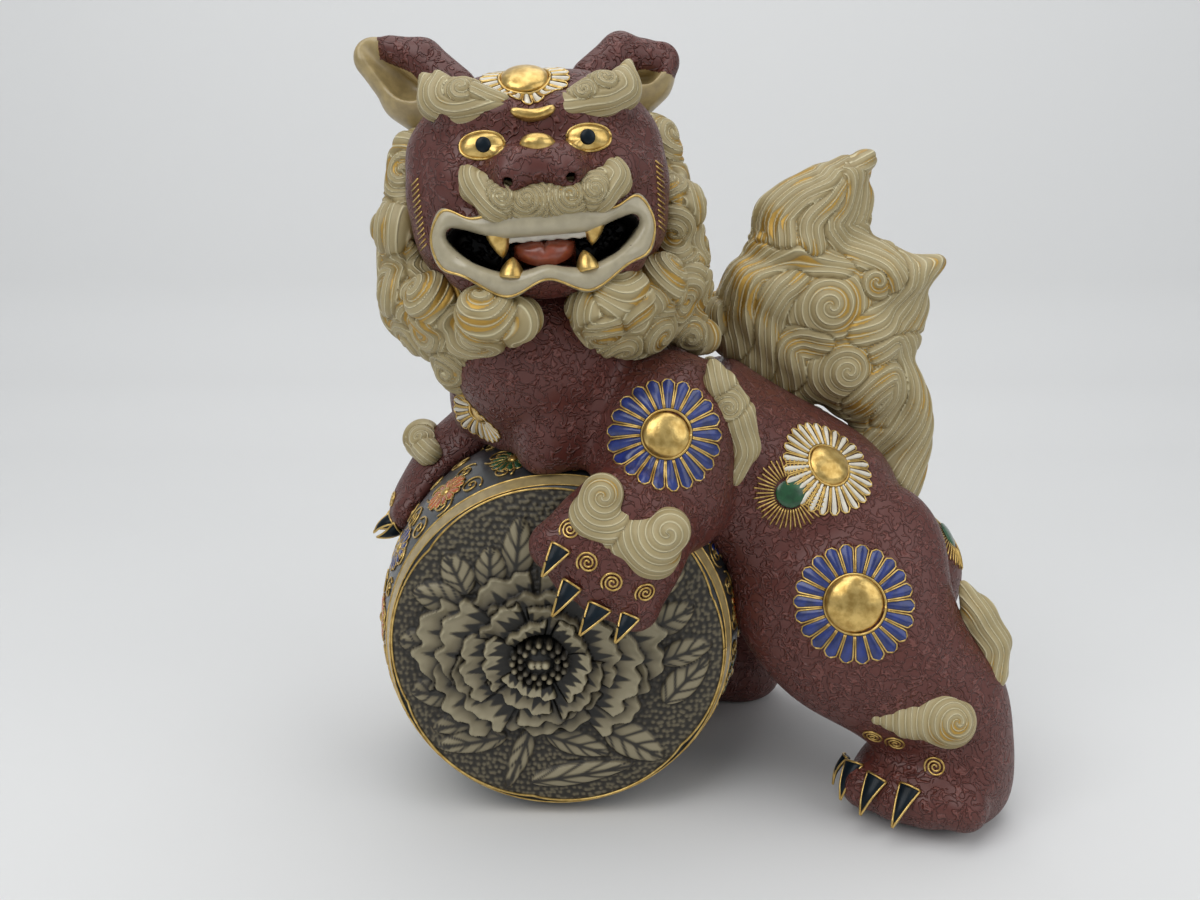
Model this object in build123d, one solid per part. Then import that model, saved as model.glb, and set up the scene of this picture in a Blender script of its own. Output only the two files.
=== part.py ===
"""Guardian-lion figure with its fore-paws on a carved ball, glazed ceramic.

Built as the potter would: separately cast hollow forms (ball, body, head, legs, tail) and
separately pressed sprigs (ears, hair, lips, teeth, claws, bosses), each seated face to face
on the form that carries it.  Millimetres, +Z up, origin at the centre of the ball's foot;
the lion walks towards -X and turns its face towards -Y.
"""
from build123d import *
import os
from math import cos, sin, pi

# Ball that the fore-paws rest on; its axis lies along Y
BALL_RADIUS = 79.0
BALL_FACE_RADIUS = 68.0
BALL_DEPTH = 104.0
BALL_FOOT_SINK = 5.0
BALL_WALL = 7.0
VENT_RADIUS = 5.0

# Carved peony panels on the two faces of the ball
PANEL_RADIUS = 63.0
PANEL_LOBES = 8
PANEL_LOBE_BULGE = 3.0
PANEL_EDGE = 4.0
PETAL_SLOPE = 0.4
PETAL_RINGS = ((9, 32.0, 14.5, 3.0), (7, 21.0, 12.5, 5.0), (5, 10.5, 9.5, 7.0))
PEONY_CORE_RADIUS = 7.0
PEONY_CORE_RISE = 8.5
LEAF_COUNT = 10
LEAF_RING_RADIUS = 49.5
LEAF_LENGTH = 18.0
LEAF_WIDTH = 10.0
LEAF_RISE = 2.0
LEAF_LEAN = 20.0

# Body casting; the chest lies on the ball and the hips are carried by the hind legs
CAST_WALL = 6.0
BODY_MIDPLANE = 8.0
CHEST_BACK = 10.0
CHEST_RISE = 15.0
CHEST_HALF_WIDTH = 60.0
CHEST_HALF_HEIGHT = 44.0
HIP_BACK = 122.0
HIP_HEIGHT = 98.0
HIP_HALF_WIDTH = 50.0
HIP_HALF_HEIGHT = 44.0
NECK_HALF_WIDTH = 46.0

# Head, in its own frame: x to the viewer's right, -y out of the face, z up
HEAD_OFFSET = (-18.0, -27.0, 86.0)
HEAD_ROLL = -4.5
HEAD_YAW = 4.0
HEAD_HALF_WIDTH = 50.0
HEAD_HALF_HEIGHT = 44.0
FACE_FRONT = 47.0
HEAD_BACK = 40.0
MUZZLE_HALF_WIDTH = 39.0
MUZZLE_HALF_HEIGHT = 21.0
MUZZLE_DROP = 19.0
MUZZLE_PROUD = 17.0
MOUTH_HALF_WIDTH = 34.0
MOUTH_TOP = -17.5
MOUTH_BOTTOM = -27.5
MOUTH_DEPTH = 46.0
LIP_HALF_WIDTH = 40.0
LIP_TOP = -6.7
LIP_BOTTOM = -33.0
LIP_PROUD = 3.2
NOSE_HALF_WIDTH = 16.0
EYE_SPACING = 37.0
EYE_RISE = 14.5
EYE_HALF_WIDTH = 8.6
EYE_HALF_HEIGHT = 5.6
PUPIL_RADIUS = 2.4
EAR_TIPS = {"left": (-60.0, 10.0, 58.0), "right": (54.0, 10.0, 49.0)}
EAR_SIZES = (11.0, 14.0, 8.0)
EAR_WALL = 4.0
EAR_SCOOP_SHIFT = 8.0
UPPER_FANG_SPACING = 34.0
LOWER_FANG_SPACING = 26.0
FANG_LENGTH = 9.0
FANG_RADIUS = 4.0
TOOTH_STRIP_DROP = 2.5
TONGUE_HALF_WIDTH = 10.0
TONGUE_RISE = 7.0
CROWN_RADIUS = 12.0

# Limbs
PAW_HALF_WIDTH = 27.0
PAW_HALF_HEIGHT = 17.0
SOLE_SINK = 2.0
TOE_RADIUS = 10.0
TOE_PITCH = 13.0
TOE_COUNT = 4
CLAW_LENGTH = 13.0
CLAW_RADIUS = 4.4
CLAW_TIP_RADIUS = 0.8
THIGH_HALF_WIDTH = 30.0
THIGH_HALF_HEIGHT = 46.0
HIND_ANKLE_RADIUS = 24.0
SHOULDER_RADIUS = 35.0
FORE_WRIST_RADIUS = 22.0

# Tail and hair
TAIL_MIDPLANE = 18.0
TAIL_STEM_RADIUS = 11.0
TAIL_HALF_THICKNESS = 22.0
TAIL_CURLS = ((-36.0, 89.0, 18.0), (-28.0, 61.0, 13.0), (-13.0, 101.0, 8.0), (-50.0, 113.0, 8.0))
TAIL_CURL_RISE = 2.4
CURL_RADIUS = 12.0
NAPE_CURL_RADIUS = 16.0
NAPE_CURL_PROUD = 3.5
NAPE_CURL_PITCH = 30.0
NAPE_ROWS = ((-0.5, 0.5), (-1, 0, 1), (-0.5, 0.5))
LOCK_STEP = 0.96
BOSS_RADIUS = 10.0
BOSS_PROUD = 3.0
SHOULDER_BOSS_BACK = {"left": 31.0, "right": -8.0}

# Places that follow from the sizes above
ON_BASE = (Align.CENTER, Align.CENTER, Align.MIN)
CAP_STEPS = ((0.5, 0.86), (0.86, 0.5), (0.97, 0.24))
BALL_CENTRE = Vector(0, 0, BALL_RADIUS - BALL_FOOT_SINK)
BALL_TOP = BALL_CENTRE.Z + BALL_RADIUS
BALL_FACE = BALL_DEPTH / 2
CHEST = Vector(CHEST_BACK, BODY_MIDPLANE, BALL_TOP + CHEST_RISE)
HIP = Vector(HIP_BACK, BODY_MIDPLANE, HIP_HEIGHT)
HEAD_CENTRE = CHEST + Vector(HEAD_OFFSET)
HEAD_PLACE = Location(tuple(HEAD_CENTRE), (0, HEAD_ROLL, HEAD_YAW))


def oval(centre, tangent, side, across, rise, boxy):
    """A closed oval face across a limb, in four quarters; boxy above 2 squares its corners."""
    tangent = tangent.normalized()
    side = (side - tangent * side.dot(tangent)).normalized()
    plane = Plane(origin=centre, x_dir=side, z_dir=tangent)
    over = plane.y_dir
    ends = (over, side * -1, over * -1, side)
    quarters = []
    for q in range(4):
        points = []
        for k in range(4):
            c = cos(pi / 2 * (q + k / 3))
            s = sin(pi / 2 * (q + k / 3))
            px = abs(c) ** (2 / boxy) * (1 if c >= 0 else -1)
            py = abs(s) ** (2 / boxy) * (1 if s >= 0 else -1)
            points.append(plane.from_local_coords((across * px, rise * py, 0)))
        quarters.append(Edge.make_spline(points, tangents=[ends[q], ends[(q + 1) % 4]]))
    return Face(Wire(quarters))


def limb(stations, grow=0.0, side=(0, 1, 0), boxy=2.0, start_round=0.8, end_round=0.8):
    """A rounded solid through stations of (centre, half width along side, half height)."""
    side = Vector(side)
    middles = [Vector(s[0]) for s in stations]
    last = len(stations) - 1
    ovals = []
    for k in range(last + 1):
        tangent = (middles[min(k + 1, last)] - middles[max(k - 1, 0)]).normalized()
        ovals.append((middles[k], tangent, stations[k][1] + grow, stations[k][2] + grow))
    shapes = [oval(c, t, side, a, r, boxy) for c, t, a, r in ovals]
    for end, sign, roundness in ((0, -1, start_round), (last, 1, end_round)):
        centre, tangent, across, rise = ovals[end]
        reach = tangent * (sign * roundness * min(across, rise))
        cap = []
        for step, part in CAP_STEPS:
            cap.append(oval(centre + reach * step, tangent, side, across * part, rise * part, boxy))
        shapes = cap[::-1] + shapes if sign < 0 else shapes + cap
    return loft(shapes)


def bead(centre, radius, inward):
    """A ball whose seam is turned inward, under the form that carries it."""
    inward = Vector(inward).normalized()
    other = Vector(0, 0, 1) if abs(inward.Z) < 0.8 else Vector(0, 1, 0)
    return Plane(origin=centre, x_dir=inward, z_dir=inward.cross(other)) * Sphere(radius)


def seat(solid, origin, direction):
    """Where a line first meets the outside of a solid, or its origin if it misses."""
    hits = []
    for face in solid.faces():
        hits += [point for point, normal in face.find_intersection_points(Axis(origin, direction))]
    return min(hits, key=lambda p: (p - Vector(origin)).dot(Vector(direction))) if hits else Vector(origin)


def seated(solid, points, direction, reach=60.0):
    """Points moved along a direction until they lie on a solid."""
    direction = Vector(direction).normalized()
    return [seat(solid, Vector(p) - direction * reach, direction) for p in points]


def grouped(shapes):
    """Several separate solids of one kind kept in one node."""
    return Compound(children=[s for s in shapes])


def ball_round(grow=0.0):
    """The whole ball: a barrel about Y with two flat faces, before it is ground or hollowed."""
    half = BALL_FACE + grow
    edge = BALL_FACE_RADIUS + grow
    outline = Polyline((edge, half), (0, half), (0, -half), (edge, -half))
    bulge = ThreePointArc((edge, -half), (BALL_RADIUS + grow, 0), (edge, half))
    return Pos(*BALL_CENTRE) * revolve(make_face(outline + bulge), Axis.Y)


def below_floor():
    return Pos(0, 0, -100) * Box(1000, 1000, 200)


def peony_panel():
    """A lobed panel with rings of petals and a ring of leaves in relief, facing +Z."""
    arcs = []
    low = PANEL_RADIUS - PANEL_LOBE_BULGE
    for k in range(PANEL_LOBES):
        a0, a1, a2 = [2 * pi * (k + step) / PANEL_LOBES for step in (0, 0.5, 1)]
        start = (low * cos(a0), low * sin(a0))
        top = (PANEL_RADIUS * cos(a1), PANEL_RADIUS * sin(a1))
        end = (low * cos(a2), low * sin(a2))
        arcs.append(Edge.make_three_point_arc(start, top, end))
    panel = extrude(Face(Wire(arcs)), PANEL_EDGE)
    for count, radius, half, rise in PETAL_RINGS:
        petal = Cone(half, half - rise * PETAL_SLOPE, PANEL_EDGE + rise, align=ON_BASE)
        panel = panel + [Rot(0, 0, 360 * k / count) * Pos(radius, 0, 0) * petal for k in range(count)]
    panel += Cone(PEONY_CORE_RADIUS, PEONY_CORE_RADIUS - 2, PANEL_EDGE + PEONY_CORE_RISE, align=ON_BASE)
    tip = LEAF_LENGTH / 2
    edge = LEAF_WIDTH / 2
    leaf = extrude(Face(Wire([
        Edge.make_three_point_arc((0, -tip), (edge, 0), (0, tip)),
        Edge.make_three_point_arc((0, tip), (-edge, 0), (0, -tip)),
    ])), PANEL_EDGE + LEAF_RISE)
    ring = []
    for k in range(LEAF_COUNT):
        ring.append(Rot(0, 0, 360 * k / LEAF_COUNT) * Pos(LEAF_RING_RADIUS, 0, 0) * Rot(0, 0, LEAF_LEAN) * leaf)
    return panel + ring


def body_stations():
    loin = CHEST + (HIP - CHEST) * 0.36 + Vector(0, 0, 14)
    flank = CHEST + (HIP - CHEST) * 0.70 + Vector(0, 0, 9)
    return [
        (CHEST + Vector(-42, 0, 2), 30, 22),
        (CHEST + Vector(-27, 0, 2), 47, 35),
        (CHEST, CHEST_HALF_WIDTH, CHEST_HALF_HEIGHT),
        (loin, CHEST_HALF_WIDTH - 1, CHEST_HALF_HEIGHT - 3),
        (flank, HIP_HALF_WIDTH + 5, HIP_HALF_HEIGHT),
        (HIP, HIP_HALF_WIDTH, HIP_HALF_HEIGHT),
        (HIP + Vector(28, 0, -14), HIP_HALF_WIDTH - 10, HIP_HALF_HEIGHT - 9),
    ]


def neck_stations():
    base = CHEST + Vector(-6, -4, 14)
    top = HEAD_CENTRE + Vector(0, 8, -40)
    return [
        (base, NECK_HALF_WIDTH + 6, NECK_HALF_WIDTH + 2),
        ((base + top) * 0.5, NECK_HALF_WIDTH, NECK_HALF_WIDTH - 2),
        (top, NECK_HALF_WIDTH - 4, NECK_HALF_WIDTH - 5),
    ]


def body_forms():
    """The trunk and the neck, each a simple form to cut others with."""
    return limb(body_stations(), boxy=2.3), limb(neck_stations(), end_round=0.3)


def cranium():
    wide = HEAD_HALF_WIDTH
    high = HEAD_HALF_HEIGHT
    stations = [
        ((0, HEAD_BACK, 0), wide - 20, high - 17),
        ((0, HEAD_BACK - 18, 0), wide - 6, high - 5),
        ((0, -4, 0), wide, high),
        ((0, 21 - FACE_FRONT, 0), wide - 1, high - 1),
        ((0, 7 - FACE_FRONT, 0), wide - 5, high - 6),
        ((0, -FACE_FRONT, 0), wide - 12, high - 14),
    ]
    return limb(stations, side=(1, 0, 0), boxy=2.6, start_round=0.4, end_round=0.3)


def muzzle(grow=0.0):
    stations = []
    for share, fall in ((-0.66, 3.5), (0, 0), (0.66, 3.5)):
        centre = (share * MUZZLE_HALF_WIDTH, 3 - FACE_FRONT, -MUZZLE_DROP)
        stations.append((centre, MUZZLE_PROUD + 3 - fall, MUZZLE_HALF_HEIGHT - fall))
    return limb(stations, grow, boxy=2.3)


def nose_form():
    """Nose with its two wings, and the brow ridges over the eyes."""
    tip = -FACE_FRONT - MUZZLE_PROUD
    shape = rod((-NOSE_HALF_WIDTH / 2, tip + 5, 6), (NOSE_HALF_WIDTH / 2, tip + 5, 6), 8, 8)
    for sign in (-1, 1):
        shape += bead((sign * NOSE_HALF_WIDTH * 0.58, tip + 1, 3), 6.5, (0, 1, 0.1))
        inner = (sign * (EYE_SPACING / 2 - 9), 2 - FACE_FRONT, 23)
        shape += rod(inner, (sign * (EYE_SPACING / 2 + 9), 4 - FACE_FRONT, 25), 8, 7)
    return shape


def mirrored_outline(points):
    """A closed smooth outline in the face plane from the points on its right half."""
    left = [(-x, z) for x, z in points[-2:0:-1]]
    loop = [Vector(x, 0, z) for x, z in points + left]
    return Face(Wire([Edge.make_spline(loop, periodic=True)]))


def lip_outline():
    wide = LIP_HALF_WIDTH
    return mirrored_outline([
        (0, LIP_TOP), (0.4 * wide, LIP_TOP - 1.6), (0.64 * wide, LIP_TOP - 2.6), (wide - 5, LIP_TOP + 1.2),
        (wide, LIP_TOP - 8.8), (wide - 2.5, LIP_TOP - 19.3), (wide - 11, LIP_BOTTOM + 3),
        (0.38 * wide, LIP_BOTTOM - 5.3), (0, LIP_BOTTOM),
    ])


def mouth_outline():
    wide = MOUTH_HALF_WIDTH
    return mirrored_outline([
        (0, MOUTH_TOP), (0.25 * wide, MOUTH_TOP), (0.5 * wide, MOUTH_TOP + 0.6), (wide - 3, MOUTH_TOP + 5), (wide, MOUTH_TOP + 1),
        (wide - 7, MOUTH_BOTTOM + 3.5), (0.47 * wide, MOUTH_BOTTOM - 1.5), (0, MOUTH_BOTTOM),
    ])


def through_face(face, depth):
    """An outline in the face plane carried from well in front of the muzzle to a depth behind its front."""
    front = FACE_FRONT + MUZZLE_PROUD
    return Pos(0, depth - front, 0) * extrude(face, depth + 40, dir=(0, -1, 0))


def rod(start, end, radius, end_radius):
    """A round-ended tapering rod."""
    line = Vector(end) - Vector(start)
    long = line.length
    low = CenterArc((0, 0), radius, -90, 90)
    high = CenterArc((0, long), end_radius, 0, 90)
    sides = Polyline((0, long + end_radius), (0, -radius)) + Line((radius, 0), (end_radius, long))
    profile = make_face(low + high + sides)
    return Plane(origin=start, z_dir=line) * (Rot(90, 0, 0) * revolve(profile, Axis.Y))


def paw(centre, forward, row):
    """A broad paw with its toes in a row; returns the solid and each toe's middle."""
    place = Plane(origin=centre, x_dir=forward, z_dir=Vector(forward).cross(Vector(row)))
    half_height = PAW_HALF_HEIGHT
    stations = [
        ((-18, 0, 0), PAW_HALF_WIDTH - 4, half_height),
        ((0, 0, 0), PAW_HALF_WIDTH, half_height),
        ((10, 0, 0), PAW_HALF_WIDTH - 1, half_height - 3),
    ]
    solid = limb(stations)
    toes = []
    for k in range(TOE_COUNT):
        share = k - (TOE_COUNT - 1) / 2
        toe = Vector(17 - 1.6 * share * share, share * TOE_PITCH, 0)
        toes.append(place.from_local_coords(toe))
        solid += bead(toe, TOE_RADIUS, (-1, 0, 0))
    return place * solid, toes


def claws(toes, direction):
    direction = Vector(direction).normalized()
    found = []
    for toe in toes:
        base = toe + direction * (TOE_RADIUS - 5)
        place = Plane(origin=base, z_dir=direction)
        found.append(place * Cone(CLAW_RADIUS, CLAW_TIP_RADIUS, CLAW_LENGTH, align=ON_BASE))
    return found


def tuft(points, sizes):
    """A lock of hair along a line of points."""
    lock = rod(points[0], points[1], sizes[0], sizes[1])
    for k in range(1, len(points) - 1):
        lock += rod(points[k], points[k + 1], sizes[k] * LOCK_STEP, sizes[k + 1])
    return lock


def cut(shape, *carriers):
    """What is left of a shape outside its carriers, as one solid."""
    for carrier in carriers:
        shape = shape - carrier
    return max(shape.solids(), key=lambda s: s.volume)


def ball_nodes():
    """Hollow ball with a ground foot and two vents, and the whole ball as a cutter."""
    full = ball_round() - below_floor()
    inside = ball_round(-BALL_WALL) - Pos(0, 0, BALL_WALL) * below_floor()
    foot_vent = Pos(0, BALL_FACE * 0.4, BALL_WALL) * Cylinder(VENT_RADIUS, 4 * BALL_WALL)
    body_vent = Pos(CHEST.X, CHEST.Y, BALL_TOP - BALL_WALL) * Cylinder(VENT_RADIUS, 4 * BALL_WALL)
    return full - (inside + foot_vent + body_vent), full


def body_cavity():
    """The hollow of the body and neck, with its vent down into the ball."""
    low = CHEST_HALF_HEIGHT - CAST_WALL - 6
    neck = NECK_HALF_WIDTH - CAST_WALL - 4
    cavity = rod(CHEST + Vector(-4, 0, 8), HEAD_CENTRE + Vector(0, 8, -66), neck, neck - 1)
    for sign in (-1, 1):
        off = Vector(0, sign * 18, 0)
        cavity += rod(CHEST + off + Vector(0, 0, 8), HIP + off + Vector(-2, 0, 6), low, low - 2)
    cavity -= ball_round(CAST_WALL)
    return cavity + Pos(CHEST.X, CHEST.Y, BALL_TOP) * Cylinder(VENT_RADIUS, 6 * CAST_WALL)


def leg_plans():
    """For each leg its stations, its paw and the line its claws point along."""
    sole = PAW_HALF_HEIGHT - SOLE_SINK - HIP_HEIGHT
    wrist = FORE_WRIST_RADIUS
    ankle = HIND_ANKLE_RADIUS
    thigh = THIGH_HALF_WIDTH
    high = THIGH_HALF_HEIGHT
    return {
        "left_fore": (
            [
                (CHEST + Vector(33, -40, -10), SHOULDER_RADIUS, SHOULDER_RADIUS),
                (CHEST + Vector(31, -50, -30), SHOULDER_RADIUS - 5.5, SHOULDER_RADIUS - 5.5),
                (Vector(32, -BALL_FACE - 9, BALL_CENTRE.Z + 54), wrist, wrist),
            ],
            (Vector(23, -BALL_FACE - 19, BALL_CENTRE.Z + 48), (-0.6, -0.25, -0.76), (0.79, 0, -0.62)),
            (-0.5, -0.5, -0.7),
        ),
        "right_fore": (
            [
                (CHEST + Vector(-10, 32, -6), SHOULDER_RADIUS - 2, SHOULDER_RADIUS - 2),
                (CHEST + Vector(-32, 35, -18), SHOULDER_RADIUS - 8, SHOULDER_RADIUS - 8),
                (Vector(-50, 36, BALL_CENTRE.Z + 57), wrist, wrist),
            ],
            (Vector(-62, 34, BALL_CENTRE.Z + 47), (-0.72, -0.1, -0.68), (0.1, -0.99, 0.04)),
            (-0.85, -0.05, -0.5),
        ),
        "left_hind": (
            [
                (HIP + Vector(-10, -32, 10), thigh, high),
                (HIP + Vector(2, -44, -16), thigh, high - 2),
                (HIP + Vector(24, -52, -42), ankle + 2, ankle + 8),
                (HIP + Vector(40, -53, -62), ankle, ankle + 3),
                (HIP + Vector(41, -54, 14 - HIP_HEIGHT), ankle + 1, ankle + 2),
            ],
            (HIP + Vector(28, -58, sole), (-0.45, -0.89, -0.05), (0.89, -0.45, 0)),
            (-0.45, -0.89, -0.35),
        ),
        "right_hind": (
            [
                (HIP + Vector(-10, 32, 8), thigh, high - 2),
                (HIP + Vector(-18, 46, -22), thigh - 2, high - 8),
                (HIP + Vector(-26, 56, -50), ankle, ankle + 4),
                (HIP + Vector(-32, 62, -70), ankle - 2, ankle),
                (HIP + Vector(-32, 63, 12 - HIP_HEIGHT), ankle - 2, ankle),
            ],
            (HIP + Vector(-46, 64, sole), (-0.98, 0.15, -0.05), (-0.15, -0.98, 0)),
            (-0.93, 0.15, -0.35),
        ),
    }


def leg_nodes(body, ball):
    """The four legs as cups open towards the body, with their claws and tufts of hair."""
    floor = below_floor()
    nodes = {}
    wholes = {}
    for name, (stations, pad, claw_line) in leg_plans().items():
        pad_solid, toes = paw(*pad)
        if "fore" in name:
            upper = tuft([c for c, across, rise in stations], [rise for c, across, rise in stations])
        else:
            upper = limb(stations)
        whole = cut(upper + pad_solid, *body, ball, floor)
        wholes[name] = whole
        node = name + ("leg" if "fore" in name else "_leg")
        nodes[node] = whole
        if "hind" in name:
            inner = stations[-2][1] - CAST_WALL
            nodes[node] = cut(whole, rod(stations[0][0], stations[-2][0], inner + 2, inner))
        nodes[name + "_claws"] = grouped([cut(c, whole, ball, floor) for c in claws(toes, claw_line)])
        centre, forward, row = Vector(pad[0]), Vector(pad[1]).normalized(), Vector(pad[2]).normalized()
        up = row.cross(forward)
        if up.dot(centre - BALL_CENTRE if "fore" in name else Vector(0, 0, 1)) < 0:
            up = up * -1
        if "fore" in name:
            rise, onto = forward * -12, up * -1
        else:
            rise, onto = up * (PAW_HALF_HEIGHT + 10), forward * -1
        line = [centre + row * (PAW_HALF_WIDTH * share) + rise for share in (0.6, 0, -0.6)]
        line = seated(whole, line, onto)
        nodes[name + "_ankle_tuft"] = cut(tuft(line, (6, 9, 6)), whole, *body, ball)
        if "hind" in name:
            line = [Vector(c) + Vector(0, 0, 28) for c, across, high in stations[-3:]]
            line = seated(whole, line, (-1, 0, -0.2))
            nodes[name + "_heel_tuft"] = cut(tuft(line, (6, 8, 5)), whole, *body, floor)
        else:
            side = -1 if "left" in name else 1
            top = CHEST + Vector(50, 0, 14)
            line = [top + Vector(x, 0, z) for x, z in ((0, 0), (12, -10), (15, -24), (9, -38))]
            line = seated(body[0] + whole, line, (0, -side, 0), 140.0)
            nodes[name.replace("_fore", "") + "_shoulder_tuft"] = cut(tuft(line, (4, 8, 7, 3)), whole, *body)
    return nodes, wholes


def ear(root, middle, tip):
    """A leaf-shaped ear, scooped out on its front."""
    outer = tuft((root, middle, tip), EAR_SIZES)
    shift = Vector(0, -EAR_SCOOP_SHIFT, EAR_SCOOP_SHIFT / 2)
    return outer - rod(Vector(middle) + shift, Vector(tip) + shift, EAR_SIZES[1] - EAR_WALL, EAR_SIZES[2] - EAR_WALL / 2)


def head_nodes(body):
    """Head casting with its open mouth, and everything pressed onto it, all in the head's frame."""
    body = [HEAD_PLACE.inverse() * form for form in body]
    front = FACE_FRONT + MUZZLE_PROUD
    skull = cranium()
    snout = muzzle()
    forms = (skull, snout, nose_form())
    face = forms[0] + forms[1] + forms[2]
    pocket = through_face(mouth_outline(), MOUTH_DEPTH)
    shell = cut(face, *body, pocket)
    nodes = {"head_casting": cut(shell, bead((0, 14, 10), HEAD_HALF_HEIGHT - 3 * CAST_WALL, (0, 1, 0)))}
    ring = through_face(lip_outline(), MUZZLE_PROUD + 8) - pocket
    lips = cut(ring & muzzle(LIP_PROUD), snout, skull)
    spot = seat(skull, (-2, -120, HEAD_HALF_HEIGHT + 70), (0, 0.79, -0.61))
    crown = cut(bead(spot + Vector(0, 3, -4), CROWN_RADIUS, (0, 0.79, -0.61)), skull)
    nodes["crown_flower"] = crown
    eyes = []
    for side, sign in (("left", -1), ("right", 1)):
        x = sign * EYE_SPACING / 2
        spot = seat(face, (x, -200, EYE_RISE), (0, 1, 0))
        run = Vector(EYE_HALF_WIDTH - EYE_HALF_HEIGHT, 0, 0)
        eye = cut(rod(spot - run, spot + run, EYE_HALF_HEIGHT, EYE_HALF_HEIGHT), *forms)
        eyes.append(eye)
        nodes[side + "_eye"] = eye
        pupil = spot + Vector(0, -EYE_HALF_HEIGHT, 0)
        nodes[side + "_pupil"] = cut(bead(pupil, PUPIL_RADIUS, (0, 1, 0)), eye)
        line = [(sign * 12, -FACE_FRONT, 31), (sign * 23, -FACE_FRONT, 35), (sign * 35, -FACE_FRONT, 33)]
        line = [spot + Vector(0, -0.7, 0.21) for spot in seated(skull, line, (0, 1, -0.35), 120.0)]
        nodes[side + "_brow_tuft"] = cut(tuft(line, (5, 8, 6)), *forms, crown)
        nodes[side + "_ear"] = cut(ear((sign * 34, 14, 32), (sign * 46, 12, 45), EAR_TIPS[side]), skull)
    halves = []
    for sign in (-1, 1):
        line = [(sign * x * NOSE_HALF_WIDTH, 0, z) for x, z in ((0.3, -3), (1.1, -1), (1.75, 6))]
        halves.append(tuft(seated(face, line, (0, 1, 0), 120.0), (6, 7, 4)))
    moustache = cut(halves[0] + halves[1], *forms, *eyes)
    nodes["moustache"] = moustache
    nodes["lips"] = cut(lips, moustache)
    spot = seat(face, (0, -200, EYE_RISE - 1), (0, 1, 0))
    nodes["nose_bead"] = cut(rod(spot - Vector(3, 0, 0), spot + Vector(3, 0, 0), 3, 3), *forms, moustache)
    gum = 6 - front
    cutters = (snout - pocket, skull - pocket, lips)
    for name, spacing, base, way in (
        ("upper_fangs", UPPER_FANG_SPACING, MOUTH_TOP + 3, -1),
        ("lower_fangs", LOWER_FANG_SPACING, MOUTH_BOTTOM - 4, 1),
    ):
        fangs = []
        for sign in (-1, 1):
            place = Plane(origin=(sign * spacing / 2, gum, base), z_dir=(0, 0, way))
            fangs.append(cut(place * Cone(FANG_RADIUS, FANG_RADIUS / 3, FANG_LENGTH, align=ON_BASE), *cutters))
        nodes[name] = grouped(fangs)
    strip = Pos(0, gum, MOUTH_TOP) * Box(UPPER_FANG_SPACING - 2 * FANG_RADIUS - 1, 3, 2 * TOOTH_STRIP_DROP)
    nodes["upper_teeth"] = cut(strip, *cutters)
    low = MOUTH_BOTTOM - TONGUE_HALF_WIDTH + TONGUE_RISE
    tongue = rod((0, gum + 20, low), (0, gum + 8, low + 1), TONGUE_HALF_WIDTH, TONGUE_HALF_WIDTH)
    nodes["tongue"] = cut(tongue, *cutters, *body)
    nodes.update(mane_nodes((skull, snout, *body, lips)))
    return nodes


def mane_nodes(carriers):
    """The curls of the ruff down each cheek into the beard, and the mane over the nape, in the head's frame."""
    nodes = {}
    wide = HEAD_HALF_WIDTH
    for side, sign, low in (("left", -1, (-36, -20, -74)), ("right", 1, (62, -4, -62))):
        ruff = tuft(((sign * (wide - 2.4), 4.4, 18), (sign * (wide + 1.6), 2.4, -12), (sign * (wide - 0.4), 0.4, -38)),
                    (10, 14, 18))
        ruff += tuft(((sign * (wide - 6), -6, -46), (sign * (wide - 18), -20, -50), (sign * (wide - 31), -32, -50)),
                     (16, 17, 13))
        ruff += rod((sign * (wide - 9), -8, -46), low, 13, 7)
        for x, y, z in ((-9, -30, -39), (-31, -44, -45), (3, -12, -36), (3, -8, -10)):
            ruff += bead((sign * (wide + x), y, z), CURL_RADIUS, (-sign * 0.6, 1, 0.2))
        nodes[side + "_mane"] = cut(ruff, *carriers)
    nape = limb([
        ((0, HEAD_BACK - 12, 30), wide - 18, 10),
        ((0, HEAD_BACK + 6, 6), wide - 6, 13),
        ((4, HEAD_BACK + 10, -28), wide - 4, 15),
        ((14, HEAD_BACK + 4, -60), wide - 14, 12),
    ], side=(1, 0, 0))
    step = NAPE_CURL_PITCH
    spots = [(x * step, 0, 18 - row * step * 0.87) for row, xs in enumerate(NAPE_ROWS) for x in xs]
    for spot in seated(nape, spots, (0, -1, 0), 120.0):
        nape += bead(spot - Vector(0, NAPE_CURL_RADIUS - NAPE_CURL_PROUD, 0), NAPE_CURL_RADIUS, (0, -1, 0))
    nodes["nape_mane"] = cut(nape, *carriers, nodes["left_mane"], nodes["right_mane"])
    return nodes


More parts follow.
